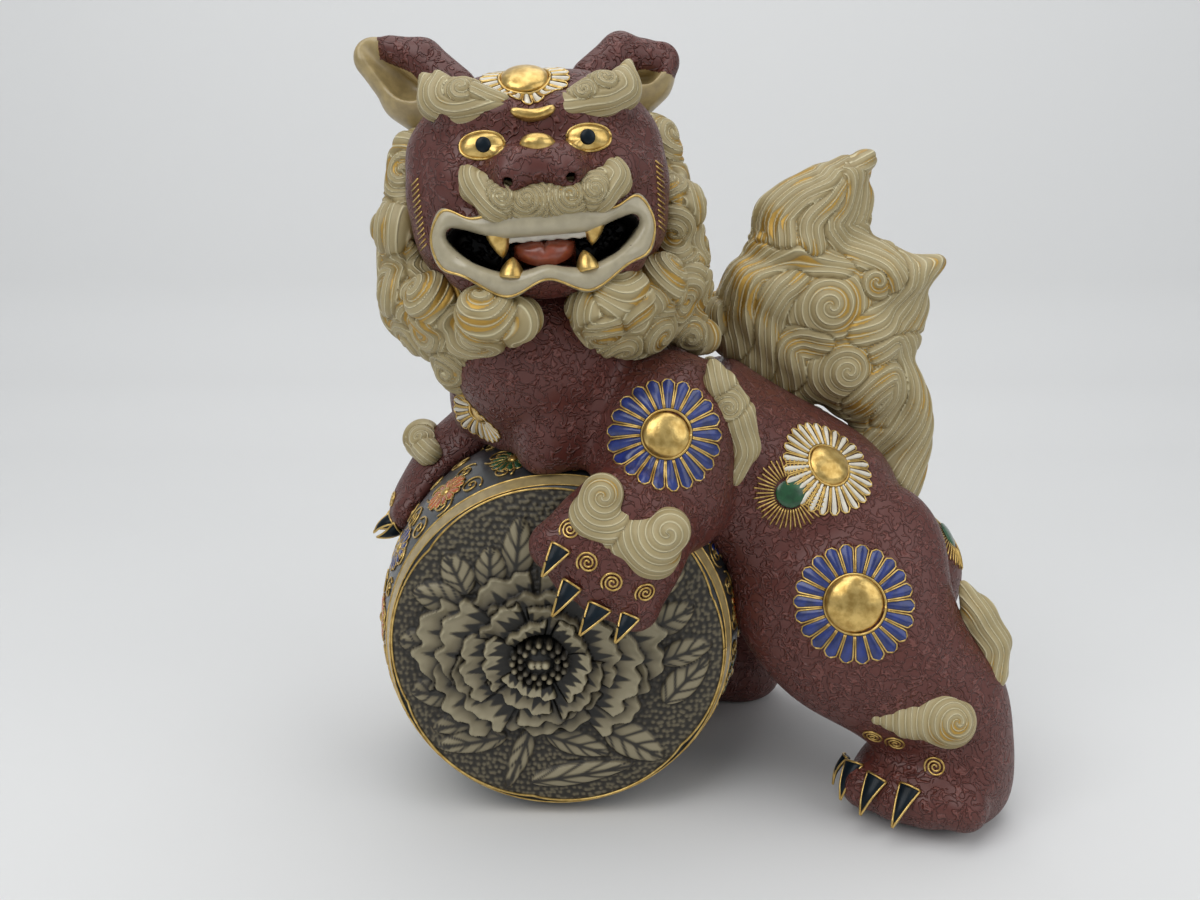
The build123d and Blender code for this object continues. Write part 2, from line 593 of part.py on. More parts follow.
def tail_nodes(carriers):
    """A stem rising from the rump into a plume of flame-like locks."""
    root = HIP + Vector(30, TAIL_MIDPLANE - BODY_MIDPLANE, 22)
    thin = TAIL_STEM_RADIUS
    thick = TAIL_HALF_THICKNESS

    def lock(points, sizes, deep, shift, side):
        stations = []
        for (x, z), size in zip(points, sizes):
            stations.append((root + Vector(x, shift, z), min(deep, size + 6), size))
        return limb(stations, side=side)

    stem = limb([
        (root + Vector(-12, -6, -10), thin + 3, thin + 3),
        (root + Vector(4, 0, 14), thin, thin),
        (root + Vector(5, 0, 44), thin + 1, thin - 1),
        (root + Vector(-6, 0, 64), thin + 1, thin - 2),
    ])
    plume = lock(((-70, 96), (-52, 92), (-34, 84), (-20, 68)), (14, 22, 28, 26), thick, 0, (0, 1, 0))
    plume += lock(((-48, 104), (-42, 124), (-30, 142), (-18, 152)), (24, 20, 11, 4), thick - 2, 1.5, (0, -1, 0))
    plume += lock(((-30, 94), (-10, 100), (4, 102), (15, 108)), (24, 17, 9, 3), thick - 4, -1.5, (0, 1, 0))
    plume += lock(((-72, 90), (-62, 79), (-46, 66), (-30, 57)), (12, 14, 15, 14), thick - 3, 0.7, (0, 1, 0))
    plume += bead(root + Vector(-16, 0, 56), thick - 1, (0, 1, 0))
    for x, z, radius in TAIL_CURLS:
        for way in (-1, 1):
            spot = seated(plume, [root + Vector(x, 0, z)], (0, -way, 0), 80.0)[0]
            roll = Cone(radius + TAIL_CURL_RISE, radius / 3, 3 * TAIL_CURL_RISE, align=ON_BASE)
            plume += Plane(origin=spot - Vector(0, way * 2 * TAIL_CURL_RISE, 0), z_dir=(0, way, 0)) * roll
    return {"tail_stem": cut(stem, *carriers), "tail_plume": cut(plume, *carriers, stem)}


def boss_nodes(legs, body):
    """Domed flower centres on the flanks, the same on both sides."""
    nodes = {}
    for side, sign in (("left", -1), ("right", 1)):
        spots = {
            "shoulder": (legs[side + "_fore"], CHEST + Vector(SHOULDER_BOSS_BACK[side], 0, -5), BOSS_RADIUS),
            "hip": (legs[side + "_hind"], HIP + Vector(-6, 0, -2), BOSS_RADIUS + 2),
            "rump": (body[0], HIP + Vector(-11, 0, 55), BOSS_RADIUS - 2),
        }
        for name, (carrier, point, radius) in spots.items():
            spot = seated(carrier, [point], (0, -sign, 0), 140.0)[0]
            dome = bead(spot + Vector(0, -sign * (radius - BOSS_PROUD), 0), radius, (0, -sign, 0))
            nodes[f"{side}_{name}_boss"] = cut(dome, carrier, *body)
    return nodes


def made():
    """Every node's name with its solid."""
    casting, ball = ball_nodes()
    body = body_forms()
    shell = cut(body[0] + body[1], ball, body_cavity())
    nodes = {"ball_casting": casting, "body_casting": shell}
    more, legs = leg_nodes(body, ball)
    nodes.update(more)
    panel = peony_panel()
    front = Pos(0, -BALL_FACE, BALL_CENTRE.Z) * Rot(90, 0, 0) * panel
    back = Pos(0, BALL_FACE, BALL_CENTRE.Z) * Rot(-90, 0, 0) * panel
    nodes["front_peony_panel"] = cut(front, *body, legs["left_fore"])
    nodes["back_peony_panel"] = cut(back, *body, legs["right_fore"], legs["right_hind"])
    for name, shape in head_nodes(body).items():
        nodes[name] = HEAD_PLACE * shape
    nodes.update(tail_nodes((*body, legs["left_hind"], legs["right_hind"])))
    nodes.update(boss_nodes(legs, body))
    return nodes


os.makedirs("parts", exist_ok=True)
for node, shape in made().items():
    export_step(shape, f"parts/{node}.step")
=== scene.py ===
"""A glazed guardian lion with its fore-paws on a carved ball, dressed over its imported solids."""

import math

import bpy
import numpy as np
import openvdb
from bpy.props import FloatProperty, IntProperty, PointerProperty
from mathutils import Matrix, Vector, noise
from mathutils.bvhtree import BVHTree


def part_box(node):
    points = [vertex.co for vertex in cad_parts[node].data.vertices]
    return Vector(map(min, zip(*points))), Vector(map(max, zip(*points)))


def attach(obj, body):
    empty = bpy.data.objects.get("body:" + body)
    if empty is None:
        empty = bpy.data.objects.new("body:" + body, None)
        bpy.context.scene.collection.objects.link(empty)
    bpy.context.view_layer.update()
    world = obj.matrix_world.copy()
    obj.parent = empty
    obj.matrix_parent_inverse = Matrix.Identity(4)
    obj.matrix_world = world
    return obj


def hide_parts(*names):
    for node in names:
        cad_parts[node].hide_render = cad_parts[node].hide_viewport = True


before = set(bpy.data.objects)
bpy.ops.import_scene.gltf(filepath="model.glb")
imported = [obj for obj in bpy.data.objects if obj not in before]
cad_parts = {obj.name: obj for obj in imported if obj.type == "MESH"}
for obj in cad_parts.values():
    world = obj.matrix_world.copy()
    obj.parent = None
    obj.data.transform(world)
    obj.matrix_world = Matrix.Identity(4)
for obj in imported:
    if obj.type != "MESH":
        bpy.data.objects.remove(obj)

bl_info = {
    "name": "Guardian lion on a carved ball",
    "version": (1, 0, 0),
    "blender": (4, 5, 0),
    "location": "View3D > Sidebar > Lion",
    "description": "Dresses the packed guardian lion with glaze, combed hair, gilt flowers and a carved ball",
    "category": "Object",
}

MM = 0.001
BODY = "root"
UP = np.array((0.0, 0.0, 1.0))

# Places taken over from the solids, in millimetres
BALL_CENTRE = np.array((0.0, 0.0, 74.0))
BALL_RADIUS = 79.0
BALL_FACE_RADIUS = 68.0
BALL_FACE = 52.0
HEAD_CENTRE = np.array((-8.0, -19.0, 254.0))
HEAD_LEAN = math.radians(-4.5)
HEAD_YAW = math.radians(4.0)
HEAD_TURN = np.array(Matrix.Rotation(HEAD_LEAN, 3, "Y") @ Matrix.Rotation(HEAD_YAW, 3, "Z"))
MIDDLE_Y = 8.0
CHEST = np.array((10.0, MIDDLE_Y, 168.0))
HIP = np.array((122.0, MIDDLE_Y, 98.0))

# Where the camera stood, in metres and degrees
CAMERA_PLACE = (0.017, -0.434, 0.230)
CAMERA_PITCH = 79.0
CAMERA_LENS = 30.0


# Geometry helpers

def node_triangles(name):
    """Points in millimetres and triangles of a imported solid."""
    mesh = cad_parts[name].data
    mesh.calc_loop_triangles()
    points = np.empty(len(mesh.vertices) * 3, np.float32)
    mesh.vertices.foreach_get("co", points)
    triangles = np.empty(len(mesh.loop_triangles) * 3, np.int32)
    mesh.loop_triangles.foreach_get("vertices", triangles)
    return points.reshape(-1, 3) / MM, triangles.reshape(-1, 3).astype(np.uint32)


def from_head(points):
    """Points of the head's own frame, in the statue's frame."""
    return np.asarray(points, float) @ HEAD_TURN.T + HEAD_CENTRE


def to_head(points):
    """Points of the statue's frame, in the head's own frame."""
    return (np.asarray(points, float) - HEAD_CENTRE) @ HEAD_TURN


def unit(vectors):
    vectors = np.asarray(vectors, float)
    return vectors / np.maximum(np.linalg.norm(vectors, axis=-1, keepdims=True), 1e-9)


def plane_axes(normal):
    """Two directions across a normal, the second as upright as it can be."""
    normal = unit(normal)
    aside = np.cross(UP, normal)
    if np.linalg.norm(aside) < 0.1:
        aside = np.cross((0.0, 1.0, 0.0), normal)
    aside = unit(aside)
    return aside, np.cross(normal, aside)


def circle_angles(count):
    """Evenly spread angles of a whole turn."""
    return np.arange(count) * 2 * math.pi / count


def ring_of(angles, aside, over):
    """Directions at angles from one across direction towards another."""
    return np.cos(angles)[..., None] * aside + np.sin(angles)[..., None] * over


def above_floor(points, height=0.0):
    """Points raised to a height wherever they lie below it."""
    points[..., 2] = np.maximum(points[..., 2], height)
    return points


def smooth_line(points, count, fine=24):
    """A smooth line of evenly spaced points through a few given ones."""
    points = np.asarray(points, float)
    padded = np.vstack((2 * points[0] - points[1], points, 2 * points[-1] - points[-2]))
    found = []
    for k in range(len(points) - 1):
        a, b, c, d = padded[k:k + 4]
        t = np.linspace(0, 1, fine, endpoint=False)[:, None]
        bend = 2 * a - 5 * b + 4 * c - d
        twist = 3 * b - a - 3 * c + d
        found.append(0.5 * (2 * b + (c - a) * t + bend * t ** 2 + twist * t ** 3))
    line = np.vstack(found + [points[-1:]])
    run = np.concatenate(([0], np.cumsum(np.linalg.norm(np.diff(line, axis=0), axis=1))))
    even = np.linspace(0, run[-1], count)
    return np.stack([np.interp(even, run, line[:, k]) for k in range(line.shape[1])], axis=1)


class Field:
    """A block of signed distances, in millimetres, that forms are joined into and carved out of."""

    # Cells on each side of a surface in which distances are kept, and those looked at about a rod
    KEPT = 6
    NEAR = 8

    def __init__(self, low, high, cell):
        self.cell = cell
        self.low = np.floor(np.asarray(low) / cell).astype(int)
        size = np.ceil(np.asarray(high) / cell).astype(int) - self.low + 1
        self.values = np.full(tuple(size), self.KEPT * cell, np.float32)

    def join_node(self, name):
        points, triangles = node_triangles(name)
        place = openvdb.createLinearTransform(self.cell)
        grid = openvdb.FloatGrid.createLevelSetFromPolygons(
            points, triangles=triangles, transform=place, halfWidth=self.KEPT)
        block = np.empty_like(self.values)
        grid.copyToArray(block, ijk=tuple(int(k) for k in self.low))
        self.values = np.minimum(self.values, block)

    def _rod(self, start, end, radius, end_radius, margin):
        """The part of the block near a rod and the distance to the rod there."""
        start, end = np.asarray(start, float), np.asarray(end, float)
        wide = max(radius, end_radius) + margin
        low = np.maximum(np.floor((np.minimum(start, end) - wide) / self.cell).astype(int) - self.low, 0)
        high = np.ceil((np.maximum(start, end) + wide) / self.cell).astype(int) - self.low + 1
        high = np.minimum(high, self.values.shape)
        part = tuple(slice(a, b) for a, b in zip(low, high))
        axes = [(np.arange(a, b) + o) * self.cell for a, b, o in zip(low, high, self.low)]
        x, y, z = np.meshgrid(*axes, indexing="ij", sparse=True)
        line = end - start
        along = ((x - start[0]) * line[0] + (y - start[1]) * line[1] + (z - start[2]) * line[2])
        along = np.clip(along / max(line @ line, 1e-6), 0, 1)
        gap = (x - start[0] - along * line[0]) ** 2
        gap = gap + (y - start[1] - along * line[1]) ** 2 + (z - start[2] - along * line[2]) ** 2
        return part, (np.sqrt(gap) - radius - along * (end_radius - radius)).astype(np.float32)

    def join_rod(self, start, end, radius, end_radius, blend=0.0):
        part, gap = self._rod(start, end, radius, end_radius, self.NEAR * self.cell + blend)
        old = self.values[part]
        if blend:
            h = np.clip(0.5 + 0.5 * (old - gap) / blend, 0, 1)
            self.values[part] = old + (gap - old) * h - blend * h * (1 - h)
        else:
            self.values[part] = np.minimum(old, gap)

    def carve_rod(self, start, end, radius, end_radius, blend=1.0):
        part, gap = self._rod(start, end, radius, end_radius, self.NEAR * self.cell + blend)
        old = self.values[part]
        h = np.clip(0.5 - 0.5 * (old + gap) / blend, 0, 1)
        self.values[part] = old + (-gap - old) * h + blend * h * (1 - h)

    def soften(self, spread):
        """Rounds every crease by about a spread in millimetres."""
        reach = int(math.ceil(2.5 * spread / self.cell))
        weights = np.exp(-0.5 * (np.arange(-reach, reach + 1) * self.cell / spread) ** 2)
        weights = (weights / weights.sum()).astype(np.float32)
        for axis in range(3):
            margins = [(reach, reach) if k == axis else (0, 0) for k in range(3)]
            padded = np.pad(self.values, margins, mode="edge")
            total = np.zeros_like(self.values)
            for k, weight in enumerate(weights):
                pick = [slice(None)] * 3
                pick[axis] = slice(k, k + self.values.shape[axis])
                total += weight * padded[tuple(pick)]
            self.values = total

    def surface(self, grow=0.0):
        """Points in millimetres and four-sided faces where the distance is zero."""
        grid = openvdb.FloatGrid(float(self.KEPT * self.cell))
        grid.copyFromArray(self.values - grow, ijk=tuple(int(k) for k in self.low))
        grid.transform = openvdb.createLinearTransform(self.cell)
        points, quads = grid.convertToQuads(0.0)
        return points.astype(float), quads.astype(np.int32)


def vertex_normals(points, faces):
    """The facing of a net of four-sided faces at each of its points."""
    a, b, c, d = (points[faces[:, k]] for k in range(4))
    across = np.cross(c - a, d - b)
    normals = np.zeros_like(points)
    for k in range(4):
        np.add.at(normals, faces[:, k], across)
    return unit(normals)


class Skin:
    """A surface that ornaments are laid on."""

    def __init__(self, points, faces):
        self.tree = BVHTree.FromPolygons(points.tolist(), faces.tolist())

    def drop(self, point, direction, reach=60.0):
        """The place and normal where a line along a direction first meets the surface."""
        direction = Vector(unit(direction))
        start = Vector(point) - direction * reach
        place, normal = self.tree.ray_cast(start, direction, 3 * reach)[:2]
        if place is None:
            return self.nearest(point)
        return np.array(place), np.array(normal)

    def nearest(self, point):
        """The place of the surface that is nearest to a point, and the normal there."""
        place, normal = self.tree.find_nearest(Vector(point))[:2]
        return np.array(place), np.array(normal)

    def lay(self, points, normal, lift=0.0, reach=20.0):
        """Points dropped onto the surface along minus a normal, raised by a lift."""
        normal = unit(normal)
        lift = np.broadcast_to(lift, len(points))
        return np.array([self.drop(p, -normal, reach)[0] + normal * h for p, h in zip(points, lift)])


class Shape:
    """Points and faces gathered from several forms, with a material for each face."""

    def __init__(self):
        self.points, self.faces, self.materials = [], [], []
        self.count = 0

    def add(self, points, faces, material=0):
        """More points, with faces that count from the first of them."""
        points = np.asarray(points, float).reshape(-1, 3)
        self.points.append(points)
        self.faces += [tuple(int(k) + self.count for k in face) for face in faces]
        self.materials += [material] * len(faces)
        self.count += len(points)

    def tube(self, line, radii, material=0, around=8, normals=None, flat=1.0):
        """A round or flattened rod along a line, closed at its ends."""
        line = np.asarray(line, float)
        radii = np.broadcast_to(radii, len(line)).astype(float)
        tangents = unit(np.gradient(line, axis=0))
        if normals is None:
            normals = np.broadcast_to(UP, line.shape).copy()
            steep = np.abs(tangents @ UP) > 0.9
            normals[steep] = (0.0, 1.0, 0.0)
        normals = unit(np.broadcast_to(normals, line.shape))
        sides = unit(np.cross(tangents, normals))
        normals = np.cross(sides, tangents)
        ring = ring_of(circle_angles(around), sides[:, None], flat * normals[:, None])
        points = line[:, None] + ring * radii[:, None, None]
        self.grid(points, material, wrap=True, cap=True)

    def grid(self, points, material=0, wrap=False, cap=False):
        """A net of points, rows by columns, as four-sided faces."""
        rows, columns = points.shape[:2]
        faces = []
        for row in range(0, (rows - 1) * columns, columns):
            for c in range(columns if wrap else columns - 1):
                d = (c + 1) % columns
                faces.append((row + c, row + d, row + columns + d, row + columns + c))
        if cap:
            faces.append(tuple(range(columns))[::-1])
            faces.append(tuple((rows - 1) * columns + k for k in range(columns)))
        self.add(points, faces, material)

    def dome(self, place, normal, radius, rise, material=0, around=20, rings=6, stretch=(1.0, 1.0)):
        """A low round cushion on a surface."""
        aside, over = plane_axes(normal)
        ring = ring_of(circle_angles(around), aside * stretch[0], over * stretch[1])
        rows = []
        for k in range(rings + 1):
            lift = math.sin(0.5 * math.pi * k / rings)
            out = max(math.cos(0.5 * math.pi * k / rings), 0.02)
            rows.append(place + ring * radius * out + unit(normal) * rise * (lift - 0.15))
        self.grid(np.array(rows), material, wrap=True, cap=True)

    def build(self, name, materials):
        """The mesh object of all that was gathered."""
        return build(name, np.vstack(self.points), self.faces, materials, self.materials)


def build(name, points, faces, materials, picks=None, values=None):
    """A mesh object from points in millimetres."""
    mesh = bpy.data.meshes.new(name)
    faces = faces.tolist() if isinstance(faces, np.ndarray) else faces
    mesh.from_pydata((np.asarray(points) * MM).tolist(), [], faces)
    mesh.polygons.foreach_set("use_smooth", np.ones(len(mesh.polygons), bool))
    for material in materials:
        mesh.materials.append(material)
    if picks is not None:
        mesh.polygons.foreach_set("material_index", np.asarray(picks, np.int32))
    for key, value in (values or {}).items():
        layer = mesh.attributes.new(key, "FLOAT", "POINT")
        layer.data.foreach_set("value", np.asarray(value, np.float32))
    mesh.update()
    piece = bpy.data.objects.new(name, mesh)
    bpy.context.scene.collection.objects.link(piece)
    return piece


def settle(piece, slot, *nodes):
    """Fixes a finished piece to the statue in place of its plain solids."""
    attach(piece, BODY)
    if nodes:
        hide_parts(*nodes)


# Materials

def shader_input(made, name):
    return made.node_tree.nodes["Principled BSDF"].inputs[name]


def material(name, colour, roughness=0.5, metallic=0.0, coat=0.0):
    """A plain glaze, before anything is painted on it."""
    made = bpy.data.materials.new(name)
    made.use_nodes = True
    for key, value in (("Base Color", (*colour, 1)), ("Roughness", roughness), ("Metallic", metallic),
                       ("Coat Weight", coat), ("Coat Roughness", 0.15)):
        shader_input(made, key).default_value = value
    return made


def add_node(made, kind, **values):
    """A shader node with its sockets and settings filled in."""
    node = made.node_tree.nodes.new(kind)
    for key, value in values.items():
        if key in node.inputs:
            node.inputs[key].default_value = value
        else:
            setattr(node, key, value)
    return node


def link(made, source, target):
    made.node_tree.links.new(source, target)


def ramp_of(made, source, stops):
    """A colour ramp over a value."""
    ramp = add_node(made, "ShaderNodeValToRGB")
    while len(ramp.color_ramp.elements) < len(stops):
        ramp.color_ramp.elements.new(0.5)
    for element, (place, colour) in zip(ramp.color_ramp.elements, stops):
        element.position = place
        element.color = (*colour, 1)
    link(made, source, ramp.inputs["Fac"])
    return ramp


def noise_of(made, scale, detail, distortion=0.0):
    """A cloudy texture in the statue's own frame."""
    place = add_node(made, "ShaderNodeTexCoord")
    texture = add_node(made, "ShaderNodeTexNoise", Scale=scale, Detail=detail, Distortion=distortion)
    link(made, place.outputs["Object"], texture.inputs["Vector"])
    return texture


def math_of(made, operation, first, second=None):
    """The result of a sum on one or two values, each a number or a socket."""
    node = add_node(made, "ShaderNodeMath", operation=operation)
    for k, value in enumerate((first, second)):
        if value is None:
            continue
        if isinstance(value, (int, float)):
            node.inputs[k].default_value = value
        else:
            link(made, value, node.inputs[k])
    return node.outputs["Value"]


def bump_of(made, height, distance, strength=1.0):
    """Raises a surface by a height, for the light only."""
    bump = add_node(made, "ShaderNodeBump", Strength=strength, Distance=distance)
    link(made, height, bump.inputs["Height"])
    link(made, bump.outputs["Normal"], shader_input(made, "Normal"))


def worm_lines(made, scale, width):
    """Thin raised lines along the level curves of a noise."""
    texture = noise_of(made, scale, 1.0, 0.8)
    gap = math_of(made, "DIVIDE", math_of(made, "SUBTRACT", texture.outputs["Fac"], 0.5), width)
    rise = math_of(made, "SUBTRACT", 1.0, math_of(made, "MULTIPLY", gap, gap))
    return math_of(made, "MAXIMUM", rise, 0.0)


def mix_of(made, factor, first, second):
    """A colour between two, each a colour or a socket."""
    mix = add_node(made, "ShaderNodeMix", data_type="RGBA")
    colours = [socket for socket in mix.inputs if socket.type == "RGBA"]
    for socket, value in zip(colours, (first, second)):
        if isinstance(value, tuple):
            socket.default_value = (*value, 1)
        else:
            link(made, value, socket)
    link(made, factor, mix.inputs["Factor"])
    return [socket for socket in mix.outputs if socket.type == "RGBA"][0]


def attribute_of(made, name):
    return add_node(made, "ShaderNodeAttribute", attribute_name=name).outputs["Fac"]


def paint(made, colour):
    link(made, colour, shader_input(made, "Base Color"))


# Colours along each ramp
# The skin's maroon, and a lighter maroon painted on its raised lines as a highlight
SKIN_AND_HIGHLIGHT_STOPS = ((0.0, (0.100, 0.0245, 0.0175)), (1.0, (0.145, 0.043, 0.033)))
# Flat black painted inside the mouth's closed pocket as the shade of its hollow
MOUTH_SHADE_BLACK = (0.004, 0.003, 0.003)
# Hair tones: dark brown for painted shade in the creases, gilt, then khaki growing lighter towards the crests
# of the rolls as painted light
HAIR_STOPS = (
    (0.0, (0.12, 0.066, 0.016)),
    (0.22, (0.47, 0.285, 0.06)),
    (0.30, (0.47, 0.285, 0.06)),
    (0.42, (0.27, 0.20, 0.082)),
    (0.75, (0.34, 0.267, 0.125)),
    (1.0, (0.40, 0.325, 0.17)),
)
HAIR_LINE = (0.68, 0.60, 0.37)
HAIR_SHINE = ((0.0, (0, 0, 0)), (0.12, (0.7, 0.7, 0.7)), (0.30, (0.7, 0.7, 0.7)), (0.38, (0, 0, 0)))
GOLD_STOPS = ((0.35, (0.46, 0.29, 0.08)), (0.65, (0.74, 0.52, 0.18)))
RELIEF_STOPS = (
    (0.0, (0.006, 0.006, 0.005)),
    (0.3, (0.035, 0.028, 0.018)),
    (0.62, (0.185, 0.155, 0.092)),
    (1.0, (0.47, 0.415, 0.27)),
)


def skin_material():
    """Matt maroon glaze over raised squiggles of slip, with a lighter maroon painted on the raised lines as a
    highlight; the inside of the mouth's pocket is painted black as shade.
    """
    made = material("maroon_glaze", (0.09, 0.026, 0.02), 0.42)
    lines = worm_lines(made, 260.0, 0.075)
    # The raised lines are painted the lighter maroon as a highlight
    shade = ramp_of(made, lines, SKIN_AND_HIGHLIGHT_STOPS)
    # Tone 0 paints the mouth's pocket flat black as shade
    paint(made, mix_of(made, attribute_of(made, "tone"), MOUTH_SHADE_BLACK, shade.outputs["Color"]))
    bump_of(made, lines, 0.0013)
    return made


def hair_material():
    """Khaki glaze with thin cream lines along the combed hair and gilt in its grooves, painted lighter on the
    crests of the rolls as painted light and darker in the creases between strands as painted shade.
    """
    made = material("cream_glaze", (0.4, 0.33, 0.2), 0.5)
    tone = attribute_of(made, "tone")
    c, s = attribute_of(made, "wave_c"), attribute_of(made, "wave_s")
    squares = math_of(made, "ADD", math_of(made, "MULTIPLY", c, c), math_of(made, "MULTIPLY", s, s))
    size = math_of(made, "SQRT", squares)
    wave = math_of(made, "DIVIDE", c, math_of(made, "MAXIMUM", size, 0.001))
    line = math_of(made, "POWER", math_of(made, "ADD", math_of(made, "MULTIPLY", wave, 0.5), 0.5), 6.0)
    shade = ramp_of(made, tone, HAIR_STOPS)
    paint(made, mix_of(made, line, shade.outputs["Color"], HAIR_LINE))
    shine = ramp_of(made, tone, HAIR_SHINE)
    gilding = math_of(made, "MULTIPLY", shine.outputs["Color"], math_of(made, "SUBTRACT", 1.0, line))
    link(made, gilding, shader_input(made, "Metallic"))
    bump_of(made, line, 0.0005)
    return made


def gold_material():
    """Gold lustre, rubbed a little dull."""
    made = material("gold_lustre", (0.55, 0.34, 0.09), 0.28, 0.85)
    rub = noise_of(made, 320.0, 4.0)
    shade = ramp_of(made, rub.outputs["Fac"], GOLD_STOPS)
    paint(made, shade.outputs["Color"])
    bump_of(made, rub.outputs["Fac"], 0.0003, 0.6)
    return made


def relief_material():
    """Carved petals: a ramp from near black to pale over the carving's tone, which holds its brushed colours
    together with painted light on raised tops, painted shade at edges and painted shadow beside raised forms.
    """
    made = material("carved_relief", (0.2, 0.17, 0.1), 0.55)
    paint(made, ramp_of(made, attribute_of(made, "tone"), RELIEF_STOPS).outputs["Color"])
    bump_of(made, noise_of(made, 900.0, 3.0).outputs["Fac"], 0.0002, 0.5)
    return made


def enamel(name, colour, spread=0.25, roughness=0.25, gloss=0.5):
    """Raised glossy enamel with an uneven tint."""
    made = material(name, colour, roughness, 0.0, 0.6 * gloss)
    shader_input(made, "Specular IOR Level").default_value = gloss
    cloud = noise_of(made, 260.0, 3.0)
    low = tuple(c * (1 - spread) for c in colour)
    high = tuple(min(c * (1 + spread), 1) for c in colour)
    shade = ramp_of(made, cloud.outputs["Fac"], ((0.35, low), (0.65, high)))
    paint(made, shade.outputs["Color"])
    return made


# Materials and skins, filled in as the steps run
PALETTE = {}
SKINS = {}


def palette():
    """Every material of the statue, made once."""
    if "gold" not in PALETTE:
        PALETTE.update({
            "skin": skin_material(),
            "hair": hair_material(),
            "gold": gold_material(),
            "relief": relief_material(),
            "white": enamel("white_glaze", (0.68, 0.64, 0.54), 0.08, 0.18),
            "lip": enamel("lip_glaze", (0.40, 0.35, 0.235), 0.08, 0.3),
            "ear": enamel("buff_glaze", (0.36, 0.27, 0.12), 0.15, 0.4),
            "black": enamel("blue_black_glaze", (0.004, 0.009, 0.014), 0.3, 0.36, 0.15),
            "red": enamel("red_glaze", (0.23, 0.05, 0.023), 0.25, 0.25),
            "blue": enamel("cobalt_enamel", (0.014, 0.028, 0.15), 0.35),
            "green": enamel("green_enamel", (0.012, 0.07, 0.025), 0.35),
            "orange": enamel("orange_enamel", (0.46, 0.10, 0.02), 0.3),
            "ground": enamel("dark_ground", (0.022, 0.026, 0.03), 0.45, 0.4),
        })
    return PALETTE


# Skin of the body, the legs and the head

LEG_NODES = ("left_foreleg", "right_foreleg", "left_hind_leg", "right_hind_leg")
BODY_BLOCK = ((-95, -105, -3), (200, 95, 252))
BREAST = CHEST + (-4, 0, 8)
# Rods inside the trunk: start, end and radius; then those in the thighs, from the hip, with two radii
TRUNK_FILL = ((BREAST, HIP + (-2, 0, 6), 36), (BREAST, HEAD_CENTRE + (0, 8, -60), 40))
THIGH_FILL = (((-10, -32, 10), (40, -53, -62), 22, 18), ((-10, 32, 8), (-32, 62, -70), 22, 16))
HEAD_BLOCK = ((-62, -85, -58), (62, 55, 62))
HEAD_FILL = ((0, 30, 5), (0, -4, 8), 28, 30)
# Wings of the nose, cheeks and brows of the right side: start, end, two radii and the blend
FACE_SWELLS = (
    ((6, -61, 5), (14, -57, 4), 6, 5.5, 3.0),
    ((27, -46, 3), (37, -34, 0), 10, 9, 8.0),
    ((9, -50, 25), (28, -47, 26), 6, 5, 5.0),
)
NOSTRIL = ((11, -70, 0), (10, -58, 3), 1.9, 1.4)


def head_side(place, sign):
    """A place of the head's right side, or its mirror image, in the statue's frame."""
    return from_head((sign * place[0], place[1], place[2]))


def body_skin(cell):
    """One skin over the trunk and the legs, with their hollows filled and their creases rounded."""
    field = Field(*BODY_BLOCK, cell)
    for node in ("body_casting",) + LEG_NODES:
        field.join_node(node)
    for start, end, radius in TRUNK_FILL:
        for aside in (-18, 0, 18):
            field.join_rod(start + (0, aside, 0), end + (0, aside, 0), radius - abs(aside) * 0.2, radius - 4)
    for start, end, radius, end_radius in THIGH_FILL:
        field.join_rod(HIP + start, HIP + end, radius, end_radius)
    field.soften(3.0)
    points, faces = field.surface(0.3)
    return above_floor(points), faces


def head_skin(cell):
    """The skin of the head, with its cheeks, brows and nose filled out and its nostrils cut."""
    low, high = from_head(HEAD_BLOCK)
    field = Field(np.minimum(low, high) - 6, np.maximum(low, high) + 6, cell)
    field.join_node("head_casting")
    start, end, *sizes = HEAD_FILL
    field.join_rod(from_head(start), from_head(end), *sizes)
    for sign in (-1, 1):
        for start, end, *sizes in FACE_SWELLS:
            field.join_rod(head_side(start, sign), head_side(end, sign), *sizes)
    field.soften(1.6)
    start, end, *sizes = NOSTRIL
    for sign in (-1, 1):
        field.carve_rod(head_side(start, sign), head_side(end, sign), *sizes)
    return field.surface()


# Combed hair

class Curl:
    """A lock wound into a spiral about a place."""

    def __init__(self, place, radius, spin=1, turns=1.7):
        self.place, self.radius, self.spin, self.turns = np.asarray(place, float), radius, spin, turns

    def read(self, points, skin):
        """How far points lie from the curl's middle, in radii, and their phase across its turns."""
        place, normal = skin.nearest(self.place)
        aside, over = plane_axes(normal)
        gap = points - place
        x, y, z = gap @ aside, gap @ over, gap @ normal
        out = np.sqrt(x * x + y * y + 0.6 * z * z)
        phase = out * self.turns / self.radius - self.spin * np.arctan2(y, x) / (2 * math.pi)
        return out / self.radius, phase


class Lock:
    """A lock combed along a line."""

    def __init__(self, line, width, rolls=1.6):
        self.line, self.width, self.rolls = smooth_line(line, 40), width, rolls

    def read(self, points, skin):
        """How far points lie from the lock's line, in widths, and their phase across its rolls."""
        gaps = np.linalg.norm(points[:, None] - self.line[None], axis=2)
        index = gaps.argmin(axis=1)
        along = unit(np.gradient(self.line, axis=0))[index]
        normal = skin.nearest(self.line[len(self.line) // 2])[1]
        side = unit(np.cross(along, normal))
        lateral = np.einsum("ij,ij->i", points - self.line[index], side)
        return gaps.min(axis=1) / self.width, lateral * self.rolls / self.width


# Sharpness of the creases between strands and of the rolls in them, the tone that shows as gilt, and the
# grain of its wear
CREASE_WIDTH = 0.10
ROLL_POWER = 0.55
GILT_TONE = 0.26
WASH_SCALE = 0.07


